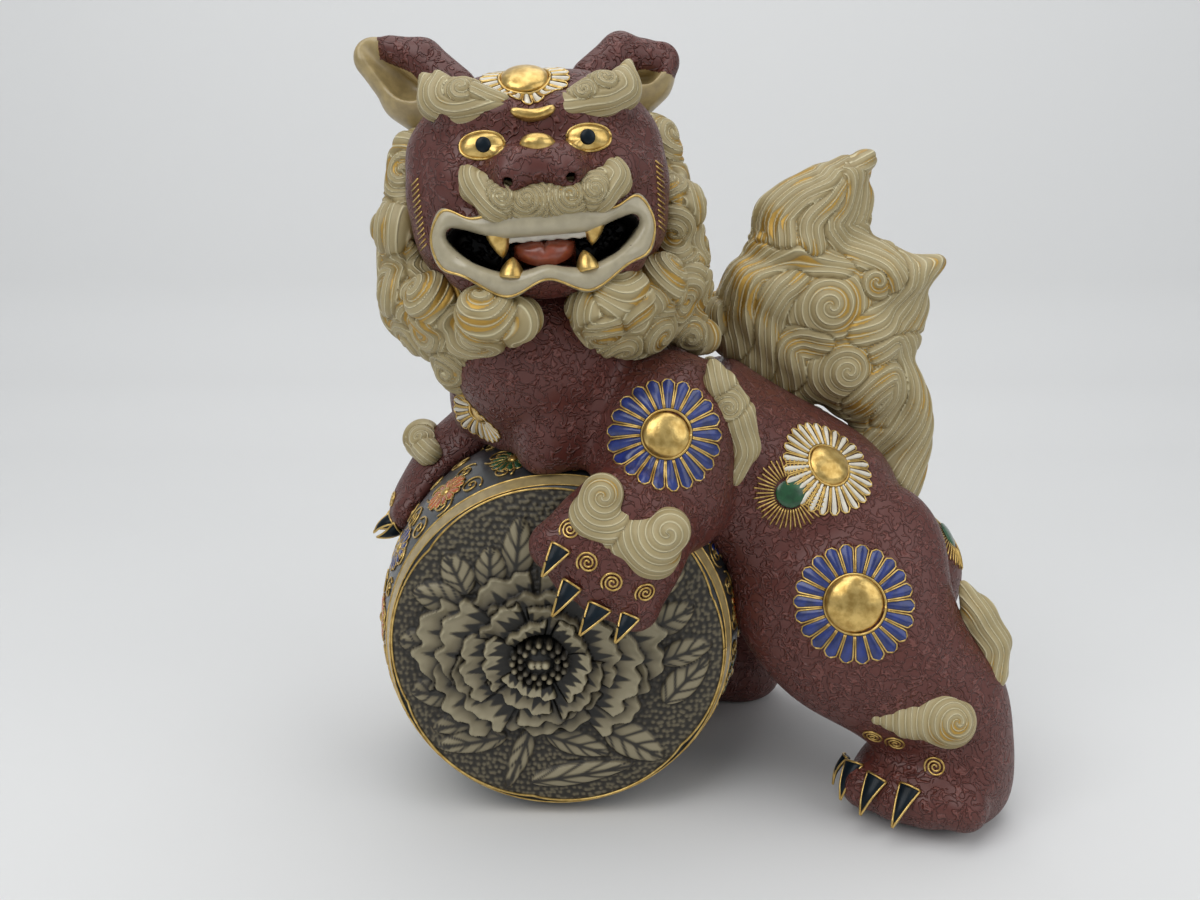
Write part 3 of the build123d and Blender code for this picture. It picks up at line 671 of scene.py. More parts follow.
def comb(points, faces, strands, roll=1.3, crease=1.2, lines=3, gilt=0.62):
    """A hair mass's points moved into curls and locks, and what the hair glaze needs at each."""
    skin = Skin(points, faces)
    normals = vertex_normals(points, faces)
    reads = [strand.read(points, skin) for strand in strands]
    gaps = np.stack([gap for gap, phase in reads], axis=1)
    phases = np.stack([phase for gap, phase in reads], axis=1)
    order = np.argsort(gaps, axis=1)
    rows = np.arange(len(points))
    phase = phases[rows, order[:, 0]]
    first = gaps[rows, order[:, 0]]
    second = gaps[rows, order[:, 1]] if gaps.shape[1] > 1 else first + 1
    valley = np.exp(-((second - first) / CREASE_WIDTH) ** 2)
    swell = np.abs(np.sin(math.pi * phase)) ** ROLL_POWER
    dome = np.clip(1 - first * first, -0.4, 1)
    height = roll * (swell - 0.5) + 0.8 * roll * dome - crease * valley
    wash = np.array([noise.noise(Vector(p) * WASH_SCALE) for p in points])
    rubbed = np.clip((gilt + 0.9 * wash - swell) * 6, 0, 1)
    # Painted light and shade: lighter on the crests of the rolls, darker in the creases between strands
    tone = np.clip(0.45 + 0.5 * swell - 0.35 * valley, 0, 1)
    tone = tone + (GILT_TONE - tone) * rubbed
    wave = 2 * math.pi * lines * phase
    return points + normals * height[:, None], {"tone": tone, "wave_c": np.cos(wave), "wave_s": np.sin(wave)}


CURL_TRIES = 3000
CURL_ROOM = 1.75


def spread_curls(points, fixed, radius, seed):
    """Curls over a mass: the ones that are known, and more wherever there is room."""
    chance = np.random.default_rng(seed)
    places = [np.asarray(curl.place) for curl in fixed]
    curls = list(fixed)
    for k in chance.permutation(len(points))[:CURL_TRIES]:
        near = min((np.linalg.norm(points[k] - p) for p in places), default=math.inf)
        if near > CURL_ROOM * radius:
            places.append(points[k])
            spin = -1 if len(curls) % 2 else 1
            curls.append(Curl(points[k], radius * chance.uniform(0.9, 1.15), spin))
    return curls


MASS_MARGIN = 14


def hair_mass(nodes, cell, spread, grow, rods=(), bare=False, trim=None):
    """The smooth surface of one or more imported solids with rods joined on, or of the rods alone."""
    cloud = np.vstack([node_triangles(node)[0] for node in nodes] + [np.array(line) for line, sizes in rods])
    field = Field(cloud.min(0) - MASS_MARGIN, cloud.max(0) + MASS_MARGIN, cell)
    for node in () if bare else nodes:
        field.join_node(node)
    for line, sizes in rods:
        for k in range(len(line) - 1):
            field.join_rod(line[k], line[k + 1], sizes[k], sizes[k + 1], 2.0)
    if trim:
        start, end, radius = trim
        field.carve_rod(start, end, radius, radius, 4.0)
    field.soften(spread)
    return field.surface(grow)


def hair_piece(name, nodes, strands, cell, spread=1.5, grow=0.6, rods=(), bare=False, trim=None, **look):
    """A combed and glazed mass of hair in place of its solids."""
    points, faces = hair_mass(nodes, cell, spread, grow, rods, bare, trim)
    points, values = comb(points, faces, strands(points), **look)
    piece = build(name, above_floor(points, 0.2), faces, [palette()["hair"]], values=values)
    settle(piece, "hair_glaze", *nodes)


# Tufts seen in the photograph: their masses as lines with sizes, then their curls (place, radius and
# spin) and combed locks (line and width)
SHOWN_TUFTS = {
    "left_fore_ankle_tuft": (
        ((((18, -80, 145), (15, -79, 136), (25, -80, 130), (35, -80, 125), (42, -82, 132)),
          (7.5, 9, 9, 11, 8)),
         (((35, -80, 126), (38, -79, 121)), (10, 8))),
        (((18, -90, 146), 9, 1), ((41, -91, 133), 10, -1)), ()),
    "left_hind_ankle_tuft": (
        ((((128, -63, 50), (139, -65, 50), (151, -64, 51), (155, -64, 49)), (3.5, 7.5, 11, 11)),),
        (((155, -75, 53), 8, 1),), ()),
    "left_hind_heel_tuft": (
        ((((164, -45, 100), (171, -46, 87), (177, -47, 75), (177, -50, 63), (172, -56, 54)),
          (0.8, 6.5, 7, 5.5, 2)),),
        (), ((((164, -50, 100), (172, -52, 86), (179, -53, 74), (178, -55, 62)), 8),)),
    "left_shoulder_tuft": (
        ((((60, -50, 191), (63, -50, 181), (69, -48, 169), (73, -47, 156), (70, -50, 141)),
          (0.8, 6.5, 8.5, 6.5, 0.8)),),
        (((66, -57, 173), 6.5, 1),),
        ((((71, -54, 165), (74, -53, 155), (71, -53, 143)), 7), (((60, -53, 190), (62, -55, 182)), 5))),
}
# The same in the head's frame
SHOWN_FACE_HAIR = {
    "left_brow_tuft": (
        ((((-11, -49, 27), (-23, -47, 30), (-33, -43, 32), (-38, -40, 42)), (5.5, 8, 6.5, 1)),
         (((-28, -45, 33), (-32, -43, 41)), (6.5, 1.5))),
        (((-24, -55, 35), 6, 1),),
        ((((-37, -46, 40), (-33, -49, 28), (-22, -54, 25), (-10, -54, 27)), 6),
         (((-19, -55, 34), (-10, -54, 29)), 4.5))),
    "right_brow_tuft": (
        ((((13, -50, 26), (24, -48, 29), (32, -45, 31), (36, -42, 41)), (5.5, 7.5, 6.5, 1)),),
        (((18, -56, 31), 5, -1), ((26, -54, 35), 5, 1)),
        ((((36, -47, 40), (34, -49, 29), (24, -54, 24), (13, -54, 23)), 6),)),
    "moustache": (
        ((((-26, -54, 9), (-22, -57, 1), (-14, -59.5, -5), (2, -60.5, -6), (19, -59, -4.5), (26, -56, -0.5),
           (27, -53, 8)),
          (1.0, 5.5, 7, 6.5, 7, 6, 1.5)),
         (((-17, -60, -7.5), (10, -60.5, -7)), (4.5, 4.5))),
        (((-13.5, -66, -3.6), 4.6, 1), ((-5, -67, -5), 4.6, -1), ((10, -66, -4.7), 4.8, 1),
         ((18.5, -65, -3.6), 4.6, -1)),
        ((((-17, -64, -8), (-22, -62, -2), (-26, -58, 8)), 3.6),
         (((23, -62, -7), (28, -59, 0), (27, -57, 8)), 3.6))),
}


def shown_strands(curls, locks, place):
    """Curls and locks of a tuft as it is in the photograph."""
    def found(points):
        strands = [Curl(place(spot), size, spin, 1.9) for spot, size, spin in curls]
        return strands + [Lock(place(line), width, 0.24 * width) for line, width in locks]
    return found


# Curls of the manes that the photograph shows: place and radius
LEFT_MANE_CURLS = (((-60, -28, 262), 9), ((-66, -30, 240), 10), ((-64, -34, 216), 10), ((-50, -48, 203), 10),
                   ((-26, -66, 204), 10), ((-42, -44, 186), 8))
RIGHT_MANE_CURLS = (((40, -32, 266), 8), ((46, -30, 240), 9), ((50, -36, 214), 10), ((32, -62, 207), 10),
                    ((18, -66, 202), 9), ((54, -30, 196), 8))
# Lobes of the beard in the head's frame, and a rod that trims the left one from below
BEARD = {
    "left": (((-24, -52, -44), (-12, -52, -46)), (10, 8)),
    "right": (((18, -52, -45), (28, -48, -42)), (9, 10)),
}
BEARD_TRIM = ((-72, -50, 168), (-8, -50, 171), 13.0)
# The upright tail, across and up: its curls with radius and turns, forms that fill its outline, and locks
TAIL_MIDDLE = 18.0
TAIL_FACE = -3.0
TAIL_CURLS = ((115, 209, 15, 2.5), (124, 181, 12.5, 2.5), (135, 219, 6, 1.2))
TAIL_SWELLS = (
    (((70, 203), (88, 187), (108, 174)), (11, 12, 11)),
    (((95, 247), (103, 252), (115, 258), (124, 266)), (11, 11, 11, 8)),
    (((127, 240), (130, 255)), (9, 7)),
    (((140, 228), (150, 208), (149, 194)), (10, 13, 12)),
    (((152, 166), (146, 155), (139, 147)), (10, 11, 9)),
)
TAIL_LOCKS = (
    (((144, 222), (138, 229), (123, 236), (117, 243), (123, 251), (124, 261), (121, 269), (131, 273)), 7),
    (((95, 236), (94, 247), (101, 255), (114, 260), (119, 268), (123, 272)), 7),
    (((86, 239), (86, 248), (94, 257), (107, 261)), 6),
    (((108, 232), (107, 243), (115, 252), (120, 259)), 7),
    (((80, 194), (77, 210), (81, 223), (91, 229), (104, 228), (118, 226)), 7),
    (((69, 200), (68, 213), (73, 226), (81, 233)), 6),
    (((89, 184), (88, 202), (93, 214), (100, 220)), 7),
    (((100, 174), (97, 189), (103, 194), (112, 193)), 6),
    (((130, 198), (145, 201), (153, 212), (156, 223), (164, 229)), 8),
    (((138, 189), (148, 193), (156, 184), (159, 172), (156, 159), (145, 142)), 7),
    (((126, 161), (135, 174), (147, 180), (152, 169), (147, 157)), 6),
)


def tail_strands(points):
    """The tail's curls and locks on its front face, and their mirror images on its back."""
    strands = []
    for way in (1, -1):
        y = TAIL_MIDDLE + way * (TAIL_FACE - TAIL_MIDDLE)
        strands += [Curl((x, y, z), radius, way, turns) for x, z, radius, turns in TAIL_CURLS]
        strands += [Lock([(x, y, z) for x, z in line], width, 0.2 * width) for line, width in TAIL_LOCKS]
    return strands


def mane_strands(known, seed, radius=10.0):
    """Curls all over a mane, with the known ones where the photograph shows them."""
    def found(points):
        fixed = [Curl(place, size, 1 if k % 2 else -1) for k, (place, size) in enumerate(known)]
        return spread_curls(points, fixed, radius, seed)
    return found


def tuft_strands(points):
    """A tuft that hardly shows: two spirals, and combed lines towards its tip."""
    middle = points.mean(axis=0)
    axis = np.linalg.svd(points - middle, full_matrices=False)[2][0]
    reach = np.abs((points - middle) @ axis).max()
    strands = []
    for share, size, spin in ((-0.55, 0.42, 1), (0.1, 0.38, -1)):
        front = middle + axis * reach * share + np.array((0, -9, 3))
        spot = points[np.argmin(np.linalg.norm(points - front, axis=1))]
        strands.append(Curl(spot, size * reach, spin))
    line = (middle, middle + axis * reach * 0.6, middle + axis * reach)
    return strands + [Lock(line, 0.35 * reach)]


# Lion options and operators

class LionOptions(bpy.types.PropertyGroup):
    skin_cell: FloatProperty(
        name="Skin cell", description="Grain of the body's skin, in millimetres", default=1.5)
    head_cell: FloatProperty(
        name="Head cell", description="Grain of the head's skin, in millimetres", default=0.8)
    hair_cell: FloatProperty(
        name="Hair cell", description="Grain of the combed hair, in millimetres", default=0.75)
    seed: IntProperty(name="Seed", description="Seed for curls that no photograph shows", default=7)


def options():
    """The sizes set in the panel."""
    return bpy.context.scene.lion_options


# The mouth's hollow in the head's frame
MOUTH_BLOCK = ((-37, -60, -33), (37, -14, -11))
MOUTH_CENTRE = (0, -40, -20)


class LION_OT_skin(bpy.types.Operator):
    """Glazed skin of the body, legs and head"""
    bl_idname = "lion.skin"
    bl_label = "Skin"

    def execute(self, context):
        points, faces = body_skin(options().skin_cell)
        SKINS["body"] = Skin(points, faces)
        piece = build("body_skin", points, faces, [palette()["skin"]], values={"tone": np.ones(len(points))})
        settle(piece, "brown_glaze", "body_casting", *LEG_NODES)
        points, faces = head_skin(options().head_cell)
        SKINS["head"] = Skin(points, faces)
        low, high = MOUTH_BLOCK
        spots = to_head(points)
        inside = np.all((spots > low) & (spots < high), axis=1)
        facing = vertex_normals(points, faces)
        # Faces inside the mouth's pocket that face its middle get tone 0, painted black as shade
        hollow = inside & (np.einsum("ij,ij->i", facing, points - from_head(MOUTH_CENTRE)) < 0)
        piece = build("head_skin", points, faces, [palette()["skin"]], values={"tone": 1.0 - hollow})
        settle(piece, "brown_glaze", "head_casting")
        return {"FINISHED"}


TUFTS = ("fore_ankle_tuft", "hind_ankle_tuft", "hind_heel_tuft", "shoulder_tuft")
TAIL_LOOK = {"roll": 1.0, "crease": 1.3, "lines": 2}
TUFT_LOOK = {"roll": 0.7, "crease": 0.6, "lines": 2, "gilt": 0.3}
TUFT_CELL = 0.6


def plain_place(points):
    return np.array(points, float)


def shown_tuft(node, parts, place, spread, grow):
    """A tuft drawn as the photograph shows it."""
    rods, curls, locks = parts
    rods = [(place(line), sizes) for line, sizes in rods]
    strands = shown_strands(curls, locks, place)
    hair_piece(node + "_hair", (node,), strands, TUFT_CELL, spread, grow, rods, True, **TUFT_LOOK)


class LION_OT_hair(bpy.types.Operator):
    """Combed manes, tail, tufts, brows and moustache, and the ears"""
    bl_idname = "lion.hair"
    bl_label = "Hair"

    def execute(self, context):
        cell = options().hair_cell
        seed = options().seed
        beards = {side: [(from_head(line), sizes)] for side, (line, sizes) in BEARD.items()}
        strands = mane_strands(LEFT_MANE_CURLS, seed)
        hair_piece("left_mane_curls", ("left_mane",), strands, cell, rods=beards["left"], trim=BEARD_TRIM)
        strands = mane_strands(RIGHT_MANE_CURLS, seed + 1)
        hair_piece("right_mane_curls", ("right_mane",), strands, cell, rods=beards["right"])
        hair_piece("nape_curls", ("nape_mane",), mane_strands((), seed + 2, 12.0), cell, grow=1.6)
        swells = [([(x, TAIL_MIDDLE, z) for x, z in line], sizes) for line, sizes in TAIL_SWELLS]
        tail_nodes = ("tail_plume", "tail_stem")
        hair_piece("tail_flame", tail_nodes, tail_strands, cell, 2.2, 0.6, swells, **TAIL_LOOK)
        for node in [side + "_" + name for side in ("left", "right") for name in TUFTS]:
            if node in SHOWN_TUFTS:
                shown_tuft(node, SHOWN_TUFTS[node], plain_place, 0.9, 0.3)
            else:
                hair_piece(node + "_hair", (node,), tuft_strands, TUFT_CELL, 0.9, 0.5, **TUFT_LOOK)
        for node, parts in SHOWN_FACE_HAIR.items():
            spread, grow = (0.8, 0.2) if node == "moustache" else (0.9, 0.3)
            shown_tuft(node, parts, from_head, spread, grow)
        ears()
        return {"FINISHED"}


# Folds of the ears in the head's frame: line, sizes, and the border of the maroon, across and up
EAR_FOLDS = {
    "left": (((-53, 9, 61), (-41, 9, 56), (-28, 3, 43)), (5, 8, 8),
             ((-70, 61), (-57, 57), (-46, 51), (-36, 40))),
    "right": (((54, 9, 49), (38, 8, 53), (25, 2, 43)), (4.5, 8, 8),
              ((32, 38), (40, 45), (47, 46), (54, 44), (66, 40))),
}
LEFT_EAR_TIP = -57.5


def ears():
    """Ears: a maroon fold over a smooth buff cup."""
    for side, (line, sizes, border) in EAR_FOLDS.items():
        points, faces = hair_mass((side + "_ear",), 0.7, 1.2, 0.3, [(from_head(line), sizes)])
        x, _, z = to_head(points[faces].mean(axis=1)).T
        across, up = np.array(border, float).T
        picks = (z > np.interp(x, across, up)).astype(int)
        if side == "left":
            picks[x < LEFT_EAR_TIP] = 0
        glazes = [palette()["ear"], palette()["skin"]]
        piece = build(side + "_ear_glaze", points, faces, glazes, picks, {"tone": np.ones(len(points))})
        settle(piece, "hair_glaze", side + "_ear")


class LION_OT_face(bpy.types.Operator):
    """Eyes, lips, teeth, tongue and the gilt of the face"""
    bl_idname = "lion.face"
    bl_label = "Face"

    def execute(self, context):
        lips()
        mouth()
        eyes()
        gilt_of_face()
        return {"FINISHED"}


# Right halves of the lips' edges, across and up in the head's frame
LIP_OUTER = (
    (0, -6.7), (16, -8), (25.5, -9.2), (35, -5.5), (40, -15.5), (37.5, -26), (29, -30), (15, -38.3), (0, -33),
)
LIP_INNER = (
    (0, -17.5), (8, -17.5), (17, -16.9), (31, -12.5), (34, -16.5), (27, -24), (16, -29), (8, -29), (0, -27.5),
)
# Fangs: place across and up, way they point, length, thickness and how far behind the front they stand
FANG_FRONT = -60.0
FANGS = (
    (-16, -14.5, -1, 9.5, 4.2, 3.4),
    (18, -13, -1, 9, 4.0, 3.4),
    (-12.5, -31, 1, 7, 4.4, 1.6),
    (14.5, -30.5, 1, 7, 4.0, 1.6),
)
# The section of the strip of teeth, from above the lip round its front and back
TEETH_FRONT = FANG_FRONT + 4
TEETH_SECTION = ((2.0, -14), (-1.4, -14), (-2.0, -16.5), (-1.7, -18.6), (-0.6, -19.2), (2.0, -19.0))
TONGUE_ROOT = -34
# Gilt lashes on each cheek: how many, and the run of one, across and down
LASHES = 13
LASH = ((42.5, 0.0), (44.0, 1.0), (45.5, 2.0))
EYE_PLACE = (18.5, 14.5)
EYE_HALF = (7.7, 4.6)
LID_HALF = (7.8, 4.7)


def whole_outline(half, count):
    """A closed outline in the face plane from its right half."""
    left = [(-x, z) for x, z in half[-2:0:-1]]
    ring = list(half) + left
    return smooth_line(ring + [ring[0]], count + 1)[:-1]


def face_spot(x, z, lift=0.0):
    """The place on the front of the head at a point of the face plane."""
    direction = HEAD_TURN @ np.array((0.0, 1.0, 0.0))
    place = SKINS["head"].drop(from_head((x, -80, z)), direction, 30.0)[0]
    return place - direction * lift


def lip_depth(x, z):
    """How far forward the lips lie at a point of the face plane."""
    skin = to_head(face_spot(x, z))[1]
    return min(skin, -63.5 + 0.0062 * x * x + 0.010 * (z + 19) ** 2)


def lips():
    """The pale ring of the lips, a rounded band between two edges with a gilt line round it."""
    count = 140
    outer = whole_outline(LIP_OUTER, count)
    inner = whole_outline(LIP_INNER, count)
    shape = Shape()
    rows = []
    edge = []
    for k in range(count):
        row = []
        for share in np.linspace(0, 1, 11):
            x, z = outer[k] * (1 - share) + inner[k] * share
            y = lip_depth(*(outer[k] * (1 - 0.6 * share) + inner[k] * 0.6 * share))
            row.append((x, y + 1.5 - 3.6 * math.sin(math.pi * min(share + 0.04, 1)) ** 0.45, z))
        x, z = inner[k]
        row.append((x, row[-1][1] + 14, z))
        first = (outer[k][0], row[0][1] + 6, outer[k][1])
        rows.append(from_head([first] + row))
        edge.append(from_head([(row[1][0], row[1][1] - 0.2, row[1][2])])[0])
    rows.append(rows[0])
    shape.grid(np.array(rows))
    shape.tube(np.array(edge + edge[:1]), 0.45, 1, 6)
    settle(shape.build("lip_ring", [palette()["lip"], palette()["gold"]]), "white_glaze", "lips")


def mouth():
    """Gilt fangs, the strip of upper teeth and the tongue."""
    shape = Shape()
    steps = np.linspace(0, 1, 10)
    for x, z, way, long, thick, deep in FANGS:
        line = np.stack((x - 0.08 * x * steps, FANG_FRONT + deep + 0 * steps, z + way * long * steps), axis=1)
        shape.tube(from_head(line), thick * (1 - steps ** 1.6) ** 0.8 + 0.3, around=14)
    settle(shape.build("fangs", [palette()["gold"]]), "gilt", "upper_fangs", "lower_fangs")
    shape = Shape()
    across = np.linspace(-15, 16.5, 25)
    rows = []
    for y, z in TEETH_SECTION:
        row = (across, TEETH_FRONT + y + 0 * across, z + 0.25 * np.cos(across * 1.26))
        rows.append(from_head(np.stack(row, axis=1)))
    shape.grid(np.array(rows))
    settle(shape.build("upper_teeth_row", [palette()["white"]]), "white_glaze", "upper_teeth")
    shape = Shape()
    across = np.linspace(-1, 1, 15)
    crown = 2.0 * (1 - across ** 2) - 1.3 * np.exp(-(across / 0.12) ** 2)
    rows = []
    for t in np.linspace(0, 1, 24):
        wide = 11.0 * math.sqrt(max(1 - (t * 0.99) ** 6, 0.0)) + 0.3
        y = TONGUE_ROOT + (FANG_FRONT - TONGUE_ROOT) * t + 0 * across
        z = -24.5 + 5.0 * math.sin(2.1 * t) - 3.2 * t ** 6
        top = np.stack((wide * across, y, z + crown), axis=1)
        under = np.stack((wide * across[::-1], y, z - 4.5 + 0 * across), axis=1)
        rows.append(from_head(np.vstack((top, under))))
    shape.grid(np.array(rows), wrap=True, cap=True)
    settle(shape.build("tongue_glaze", [palette()["red"]]), "red_glaze", "tongue")


def almond(half, angles):
    """The outline of an eye about its middle, across and up."""
    upright = np.abs(np.sin(angles)) ** 0.85 * np.sign(np.sin(angles))
    return half[0] * np.cos(angles), half[1] * upright


def eyes():
    """Gilt almond eyes with black pupils and a gilt rim."""
    for side, sign in (("left", -1), ("right", 1)):
        shape = Shape()
        x0, z0 = sign * EYE_PLACE[0], EYE_PLACE[1]
        rows = []
        base = to_head(face_spot(x0, z0))[1]
        across, up = almond(EYE_HALF, circle_angles(36))
        edge = np.array([to_head(face_spot(x, z))[1] for x, z in zip(x0 + across, z0 + up)]) + 0.3
        for a in np.linspace(0, 0.5 * math.pi, 9):
            out, lift = math.cos(a), math.sin(a)
            ring = np.stack((x0 + across * out, edge + (base - 2.4 - edge) * lift, z0 + up * out), axis=1)
            rows.append(from_head(ring))
        shape.grid(np.array(rows), wrap=True, cap=True)
        settle(shape.build(side + "_eyeball", [palette()["gold"]]), "gilt", side + "_eye")
        shape = Shape()
        facing = HEAD_TURN @ np.array((0.0, -1.0, 0.05))
        shape.dome(from_head((x0 - sign * 0.5, base - 2.8, z0)), facing, 2.7, 1.0)
        across, up = almond(LID_HALF, np.linspace(0, 2 * math.pi, 49))
        shape.tube(np.array([face_spot(x0 + x, z0 + z, 0.15) for x, z in zip(across, up)]), 0.45, 1)
        piece = shape.build(side + "_pupil_glaze", [palette()["black"], palette()["gold"]])
        settle(piece, "blue_black_glaze", side + "_pupil")


def gilt_of_face():
    """Nose bead, forehead crescent, lashes on the cheeks, and the flower on the crown."""
    skin = SKINS["head"]
    shape = Shape()
    facing = HEAD_TURN @ np.array((0.0, -1.0, 0.2))
    shape.dome(face_spot(0.5, 13), facing, 6.2, 3.6, stretch=(1.0, 0.6))
    sweep = np.linspace(-1, 1, 15)
    line = np.array([face_spot(7.5 * s, 23.2 + 2.2 * s * s, 0.2) for s in sweep])
    shape.tube(line, 0.5 + 1.9 * np.sqrt(1 - 0.97 * sweep ** 2), around=8)
    for sign in (-1, 1):
        for z in 6 - 1.9 * np.arange(LASHES):
            line = [face_spot(sign * x, z - drop, 0.25) for x, drop in LASH]
            shape.tube(line, 0.3, around=6)
    settle(shape.build("face_gilding", [palette()["gold"]]), "gilt", "nose_bead")
    spot, normal = skin.drop(from_head((-1.7, -40, 39)), HEAD_TURN @ np.array((0, 0.5, -0.87)))
    shape = Shape()
    flower(shape, skin, spot, normal, 16.0, 9.0, 22, 0.26)
    settle(shape.build("crown_blossom", [palette()["gold"], palette()["white"]]), "gilt", "crown_flower")


# Flowers, claws and the carved ball

# Half a petal and half its outline as shares of the pitch, and the ring between heart and petals
PETAL_SHARE = 0.36
WHITE_PETAL_SHARE = 0.24
PETAL_CONTOUR = 0.42
HEART_RING = 0.8
FINE_LINE = 0.36
RAYS = 44


def flower(shape, skin, spot, normal, radius, heart, petals, share=PETAL_SHARE):
    """A chrysanthemum laid on a surface: enamelled petals in gilt outlines about a gilt boss."""
    aside, over = plane_axes(normal)
    pitch = 2 * math.pi / petals
    across = np.linspace(-1, 1, 5)
    cushion = 0.8 - 0.6 * across ** 2

    def reach(t):
        return heart + HEART_RING + (radius - heart - HEART_RING) * t

    def half_width(t, part):
        return part * pitch * reach(t) * math.sqrt(1 - 0.85 * max((t - 0.75) / 0.25, 0) ** 3)

    for a in pitch * np.arange(petals):
        out = ring_of(a, aside, over)
        side = ring_of(a, over, -aside)
        rows, left, right = [], [], []
        for t in np.linspace(0, 1, 9):
            middle = spot + out * reach(t)
            row = middle + side * (half_width(t, share) * across)[:, None]
            rows.append(skin.lay(row, normal, cushion))
            left.append(middle - side * half_width(t, PETAL_CONTOUR))
            right.append(middle + side * half_width(t, PETAL_CONTOUR))
        shape.grid(np.array(rows), 1)
        outline = skin.lay(np.array(left + right[::-1]), normal, 0.35)
        shape.tube(outline, FINE_LINE, 0, 5, normal)
    boss = skin.lay([spot], normal)[0]
    shape.dome(boss, normal, heart, 0.36 * heart, 0, 32)
    circle = spot + (heart + 0.2) * ring_of(np.linspace(0, 2 * math.pi, 61), aside, over)
    shape.tube(skin.lay(circle, normal, 0.4), 0.55, 0, 6, normal)


def rays(shape, skin, spot, normal, radius, heart):
    """Fine gilt rays, long and short in turn, about a green heart."""
    aside, over = plane_axes(normal)
    for k, a in enumerate(circle_angles(RAYS)):
        far = radius * (1 if k % 2 else 0.93)
        line = spot + np.outer(np.linspace(heart + 0.5, far, 6), ring_of(a, aside, over))
        shape.tube(skin.lay(line, normal, 0.25), FINE_LINE, 0, 5, normal)
    shape.dome(skin.lay([spot], normal)[0], normal, heart, 1.3, 1, 20)


# Flowers of the left side: place, facing, radius, radius of the heart, petals and enamel
FLOWERS = (
    ("shoulder", (41, -62, 163), (0.25, -0.9, 0.35), 21.5, 9.0, 21, "blue"),
    ("hip", (116, -58, 96), (0.1, -1, 0.1), 23.0, 11.5, 22, "blue"),
    ("rump", (111, -45, 153), (0.15, -0.75, 0.65), 20.5, 9.0, 26, "white"),
    ("chest", (-35, -24, 167), (-0.8, -0.6, 0.1), 15.0, 5.5, 22, "white"),
)
BOSSES = {"shoulder": "_shoulder_boss", "hip": "_hip_boss", "rump": "_rump_boss"}
# Rayed flowers: place, facing, radius and radius of the heart
RAY_FLOWERS = (
    ("flank", (93, -50, 139), (0, -0.9, 0.4), 15.0, 6.2),
    ("croup", (166, -4, 106), (0.85, -0.35, 0.4), 16.0, 6.2),
)


def on_side(place, facing, mirror):
    """A place and a facing of the left side, or their mirror images on the right."""
    spot = np.array((place[0], MIDDLE_Y + mirror * (place[1] - MIDDLE_Y), place[2]))
    return spot, unit((facing[0], mirror * facing[1], facing[2]))


def flower_ground(skin, spot, normal, reach=40.0):
    """The place below a spot and the mean facing of the skin about it."""
    place = skin.drop(spot, -normal, reach)[0]
    about = place + 10 * ring_of(circle_angles(8), *plane_axes(normal))
    facings = [skin.drop(point, -normal, reach)[1] for point in about]
    return place, unit(np.mean(facings, axis=0) + 0.5 * normal)


class LION_OT_flowers(bpy.types.Operator):
    """Gilt and enamelled chrysanthemums on both flanks"""
    bl_idname = "lion.flowers"
    bl_label = "Flowers"

    def execute(self, context):
        skin = SKINS["body"]
        colours = palette()
        for side, mirror in (("left", 1), ("right", -1)):
            for name, place, facing, radius, heart, petals, colour in FLOWERS:
                spot, normal = on_side(place, facing, mirror)
                nodes = [side + BOSSES[name]] if name in BOSSES else []
                if side == "right" and nodes:
                    low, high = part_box(nodes[0])
                    spot = (np.array(low) + np.array(high)) / 2 / MM
                spot, normal = flower_ground(skin, spot, normal)
                shape = Shape()
                share = WHITE_PETAL_SHARE if colour == "white" else PETAL_SHARE
                flower(shape, skin, spot, normal, radius, heart, petals, share)
                piece = shape.build(side + "_" + name + "_flower", [colours["gold"], colours[colour]])
                settle(piece, "gilt", *nodes)
            # The right side has room for the first rayed flower only
            for name, place, facing, radius, heart in RAY_FLOWERS[:1] if side == "right" else RAY_FLOWERS:
                spot, normal = flower_ground(skin, *on_side(place, facing, mirror))
                shape = Shape()
                rays(shape, skin, spot, normal, radius, heart)
                piece = shape.build(side + "_" + name + "_rays", [colours["gold"], colours["green"]])
                settle(piece, "gilt")
        return {"FINISHED"}


class LION_OT_paws(bpy.types.Operator):
    """Gilt spirals on the toes and blue-black claws with gilt edges"""
    bl_idname = "lion.paws"
    bl_label = "Paws"

    def execute(self, context):
        colours = palette()
        skin = SKINS["body"]
        for paw in ("left_fore", "right_fore", "left_hind", "right_hind"):
            points, triangles = node_triangles(paw + "_claws")
            shape = Shape()
            plain = [claw_shape(cloud, skin) for cloud in islands(points, triangles)]
            for left, right, tip in SHOWN_CLAWS.get(paw, plain):
                claw(shape, skin, left, right, tip)
            behind = [0.8 * (left + right) - 0.6 * tip + UP * 4 for left, right, tip in plain]
            for spot in SHOWN_SPIRALS.get(paw, behind):
                toe_spiral(shape, skin, spot, SPIRAL_RADIUS)
            piece = shape.build(paw + "_claw_glaze", [colours["black"], colours["gold"]])
            settle(piece, "blue_black_glaze", paw + "_claws")
        return {"FINISHED"}


def islands(points, triangles):
    """The separate solids of a node, as clouds of points."""
    keys = np.round(points * 50).astype(np.int64)
    index = np.unique(keys, axis=0, return_inverse=True)[1].reshape(-1)
    owner = np.arange(index.max() + 1)
    while True:
        old = owner.copy()
        for a, b in ((0, 1), (1, 2), (2, 0)):
            first, second = index[triangles[:, a]], index[triangles[:, b]]
            least = np.minimum(owner[first], owner[second])
            np.minimum.at(owner, first, least)
            np.minimum.at(owner, second, least)
        if np.array_equal(old, owner):
            break
    return [points[owner[index] == k] for k in np.unique(owner)]


CLAW_HALF_WIDTH = 3.9
SPIRAL_RADIUS = 4.2
SPIRAL_TURNS = 2.6
